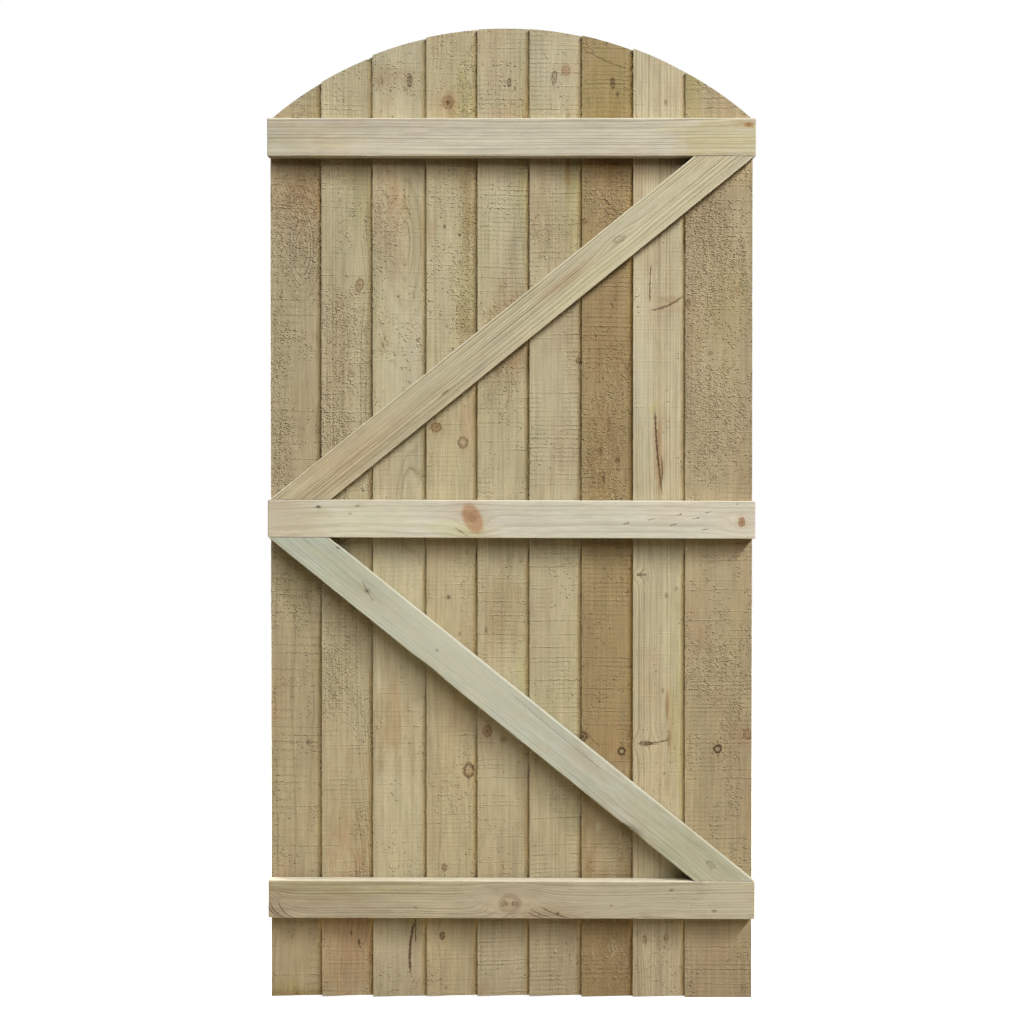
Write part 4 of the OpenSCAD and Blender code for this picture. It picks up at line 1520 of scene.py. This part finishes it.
def nail_mesh(middles, frames, radius, rise):
    """Nails in one mesh. Turning the outline gives a nail: ring r and turn t is the point
    (reach_r cos t, reach_r sin t, lift_r). Each nail's frame, whose rows are right, up and out,
    then carries those points to the middle of its head."""
    outline = np.array(NAIL_OUTLINE)
    turn = np.arange(NAIL_TURNS) * 2 * math.pi / NAIL_TURNS
    reach, lift = outline[1:-1, :1], outline[1:-1, 1:]
    rings = np.stack([reach * np.cos(turn), reach * np.sin(turn), lift + 0 * turn], -1)
    head, foot = np.array([[0, 0, outline[0, 1]]]), np.array([[0, 0, outline[-1, 1]]])
    local = np.concatenate([head, rings.reshape(-1, 3), foot]) * (radius, radius, rise)
    points = middles[:, None] + local @ frames
    here = 1 + np.arange(rings[..., 0].size).reshape(-1, NAIL_TURNS)
    after = np.roll(here, -1, axis=1)
    quads = np.stack([here[:-1], after[:-1], after[1:], here[1:]], -1).reshape(-1, 4)
    top = np.stack([0 * here[0], after[0], here[0]], -1)
    bottom = np.stack([here[-1], after[-1], 0 * here[-1] + len(local) - 1], -1)
    start = np.arange(len(middles))[:, None, None] * len(local)
    quads = (start + quads).reshape(-1, 4)
    triangles = (start + np.concatenate([top, bottom])).reshape(-1, 3)
    mesh = bpy.data.meshes.new("nails")
    mesh.from_pydata(points.reshape(-1, 3).tolist(), [], quads.tolist() + triangles.tolist())
    mesh.polygons.foreach_set("use_smooth", np.ones(len(mesh.polygons), bool))
    mesh.set_sharp_from_angle(angle=NAIL_CREASE)
    return mesh


class GATE_OT_nails(bpy.types.Operator):
    """Drives nails through the boards into the ledges and braces"""

    bl_idname = "gate.nails"
    bl_label = "Nails"

    def execute(self, context):
        settings = context.scene.gate_nails
        timbers = context.scene.gate_timber
        rng = np.random.default_rng(NAIL_SEED)
        places = nail_places(settings, timbers)
        count = len(places)
        corner = np.array([timber.corner for timber, a, z in places])
        across = np.array([timber.across for timber, a, z in places])
        deep = np.array([timber.deep for timber, a, z in places])
        shape = np.array([(timber.width, timber.near, timber.far, a) for timber, a, z in places])
        width, near, far, a = (shape[:, [part]] for part in range(4))
        a = a + rng.uniform(-NAIL_ASIDE, NAIL_ASIDE, (count, 1))
        # The outer face slopes, since a board is thicker along one edge
        slope = (far - near) / width
        middles = corner + across * a + deep * (near + slope * a)
        middles[:, 2] = [z for timber, a, z in places]
        middles[:, 2] += rng.uniform(-NAIL_HIGH, NAIL_HIGH, count)
        out = deep - across * slope + rng.normal(0, NAIL_TILT, (count, 3))
        right = across + deep * slope
        up = np.broadcast_to((0.0, 0.0, 1.0), right.shape)
        frames = np.stack([right, up, out], 1)
        frames = frames / np.linalg.norm(frames, axis=2, keepdims=True)
        mesh = nail_mesh(middles, frames, settings.head / 2, settings.rise)
        add_piece("nails", mesh, galvanised_material(settings))
        return {"FINISHED"}


def white_when_seen(net, seen, unseen):
    """One shader for camera and glass rays, and another for the rays that light things."""
    path = net.add("ShaderNodeLightPath", {}).outputs
    direct = net.math("MAXIMUM", path["Is Camera Ray"], path["Is Transmission Ray"])
    mixed = net.add("ShaderNodeMixShader", {0: direct})
    net.feed(mixed.inputs[1], unseen)
    net.feed(mixed.inputs[2], seen)
    return mixed.outputs[0]


# A panel of light: which side of the gate it is on (-1 for the ledges' side), how far right of and
# above square-on it stands, as slopes, its length and its share of the light
Panel = namedtuple("Panel", "side right up length share")
KEY_PANELS = [
    Panel(-1, 0.44, 0.5, 4.0, 0.33), Panel(-1, 0.84, 0.95, 2.86, 0.31), Panel(-1, 1.29, 1.47, 1.7, 0.26),
    Panel(-1, -0.8, 1.1, 2.8, 0.1), Panel(1, -1.3, 1.1, 2.0, 0.55),
]

# How far the strip that the panels stand along leans, for each unit of its height
KEY_LEAN = 0.87

# The floor's half width, and how far below the boards' feet it lies
FLOOR_REACH = 12.0
FLOOR_GAP = 0.0005

# How brightly the floor shines where it is seen, and how far out it throws its full light back
FLOOR_GLOW = 0.75
FULL_BOUNCE = 1.0

# Where the room goes from dim to bright, as how far a direction points to the back
ROOM_EDGE = (-0.15, 0.35)


class GATE_OT_stage(bpy.types.Operator):
    """Sets the camera, the lamps, the white surroundings and the floor"""

    bl_idname = "gate.stage"
    bl_label = "Stage"

    def execute(self, context):
        scene = context.scene
        settings = scene.gate_stage
        scene.view_settings.view_transform = "Standard"
        low, high = CAD_BOX
        centre = (low + high) / 2
        camera = bpy.data.objects.new("camera", bpy.data.cameras.new("camera"))
        camera.data.lens = settings.lens
        camera.data.sensor_width = 36
        camera.location = settings.camera_place
        camera.rotation_euler = (math.pi / 2 - settings.camera_dip, 0, 0)
        scene.collection.objects.link(camera)
        scene.camera = camera

        for number, panel in enumerate(KEY_PANELS, 1):
            away = Vector((panel.right, panel.side, panel.up)).normalized()
            lamp = bpy.data.lights.new("key_%d" % number, "AREA")
            lamp.shape = "RECTANGLE"
            lamp.size, lamp.size_y = settings.key_width, panel.length
            # A lamp of power P lights a face that is square to it by P / (pi * distance squared)
            square_on = panel.share / abs(away.y)
            lamp.energy = settings.key_level * math.pi**2 * settings.key_distance**2 * square_on
            key = bpy.data.objects.new("key_%d" % number, lamp)
            key.location = centre + away * settings.key_distance
            # The panels stand end to end along a slanting strip
            strip = Vector((KEY_LEAN, 0, 1))
            up = (strip - away * strip.dot(away)).normalized()
            right = up.cross(away)
            key.matrix_world = Matrix((right, up, away)).transposed().to_4x4()
            key.location = centre + away * settings.key_distance
            scene.collection.objects.link(key)

        world = bpy.data.worlds.new("surroundings")
        world.use_nodes = True
        scene.world = world
        net = Net(world.node_tree)
        world.node_tree.nodes.clear()
        seen = net.add("ShaderNodeBackground", {"Color": (1, 1, 1, 1), "Strength": 1.0}).outputs[0]
        # The white room is dim on the ledges' side, where the key light works, and bright behind
        towards = net.split(net.add("ShaderNodeTexCoord", {}).outputs["Generated"])
        level = net.ease(towards[1], *ROOM_EDGE, settings.fill, settings.back_fill)
        fill = net.add("ShaderNodeBackground", {"Color": (1, 1, 1, 1), "Strength": level}).outputs[0]
        output = net.add("ShaderNodeOutputWorld", {})
        net.feed(output.inputs[0], white_when_seen(net, seen, fill))

        material = bpy.data.materials.new("floor")
        material.use_nodes = True
        net = Net(material.node_tree)
        matt = material.node_tree.nodes["Principled BSDF"]
        net.feed(matt.inputs["Base Color"], (*settings.floor, 1.0))
        net.feed(matt.inputs["Roughness"], 0.9)
        glow = net.add("ShaderNodeEmission", {"Color": (1, 1, 1, 1), "Strength": FLOOR_GLOW}).outputs[0]
        both = net.add("ShaderNodeAddShader", {0: glow, 1: matt.outputs[0]}).outputs[0]
        # Only the floor near the gate throws light back up at it
        place = net.add("ShaderNodeTexCoord", {}).outputs["Object"]
        away = net.add("ShaderNodeVectorMath", {0: place, 1: tuple(centre)}, operation="DISTANCE")
        bounce = net.ease(away.outputs["Value"], settings.bounce_reach, FULL_BOUNCE, 0.0, settings.bounce)
        thrown = net.mix(bounce, (0.0, 0.0, 0.0), tuple(settings.bounce_tint))
        lit = net.add("ShaderNodeBsdfDiffuse", {"Color": thrown})
        output = material.node_tree.nodes["Material Output"]
        net.feed(output.inputs[0], white_when_seen(net, both, lit.outputs[0]))
        mesh = bpy.data.meshes.new("floor")
        sides = [(-1, -1), (1, -1), (1, 1), (-1, 1)]
        corners = [(centre.x + FLOOR_REACH * x, FLOOR_REACH * y, low.z - FLOOR_GAP) for x, y in sides]
        mesh.from_pydata(corners, [], [(0, 1, 2, 3)])
        mesh.materials.append(material)
        floor = bpy.data.objects.new("floor", mesh)
        scene.collection.objects.link(floor)
        return {"FINISHED"}


class GATE_PT_panel(bpy.types.Panel):
    """The gate's operators and settings"""

    bl_idname = "GATE_PT_panel"
    bl_label = "Arched garden gate"
    bl_space_type = "VIEW_3D"
    bl_region_type = "UI"
    bl_category = "Gate"

    def draw(self, context):
        for operator in OPERATORS:
            self.layout.operator(operator.bl_idname)
        for name in SETTINGS:
            settings = getattr(context.scene, name)
            box = self.layout.box()
            for key in settings.__annotations__:
                box.prop(settings, key)


OPERATORS = [GATE_OT_boards, GATE_OT_ledges, GATE_OT_braces, GATE_OT_slivers, GATE_OT_nails, GATE_OT_stage]
SETTINGS = {
    "gate_timber": GateTimberSettings,
    "gate_slivers": GateSliverSettings,
    "gate_nails": GateNailSettings,
    "gate_stage": GateStageSettings,
}
CLASSES = [*SETTINGS.values(), *OPERATORS, GATE_PT_panel]


def register():
    for cls in CLASSES:
        bpy.utils.register_class(cls)
    for name, cls in SETTINGS.items():
        setattr(bpy.types.Scene, name, PointerProperty(type=cls))


def unregister():
    for name in SETTINGS:
        delattr(bpy.types.Scene, name)
    for cls in reversed(CLASSES):
        bpy.utils.unregister_class(cls)


def main():
    """Dresses the whole gate."""
    register()
    bpy.ops.gate.boards()
    bpy.ops.gate.ledges()
    bpy.ops.gate.braces()
    bpy.ops.gate.slivers()
    bpy.ops.gate.nails()
    bpy.ops.gate.stage()


if __name__ == "__main__":
    main()
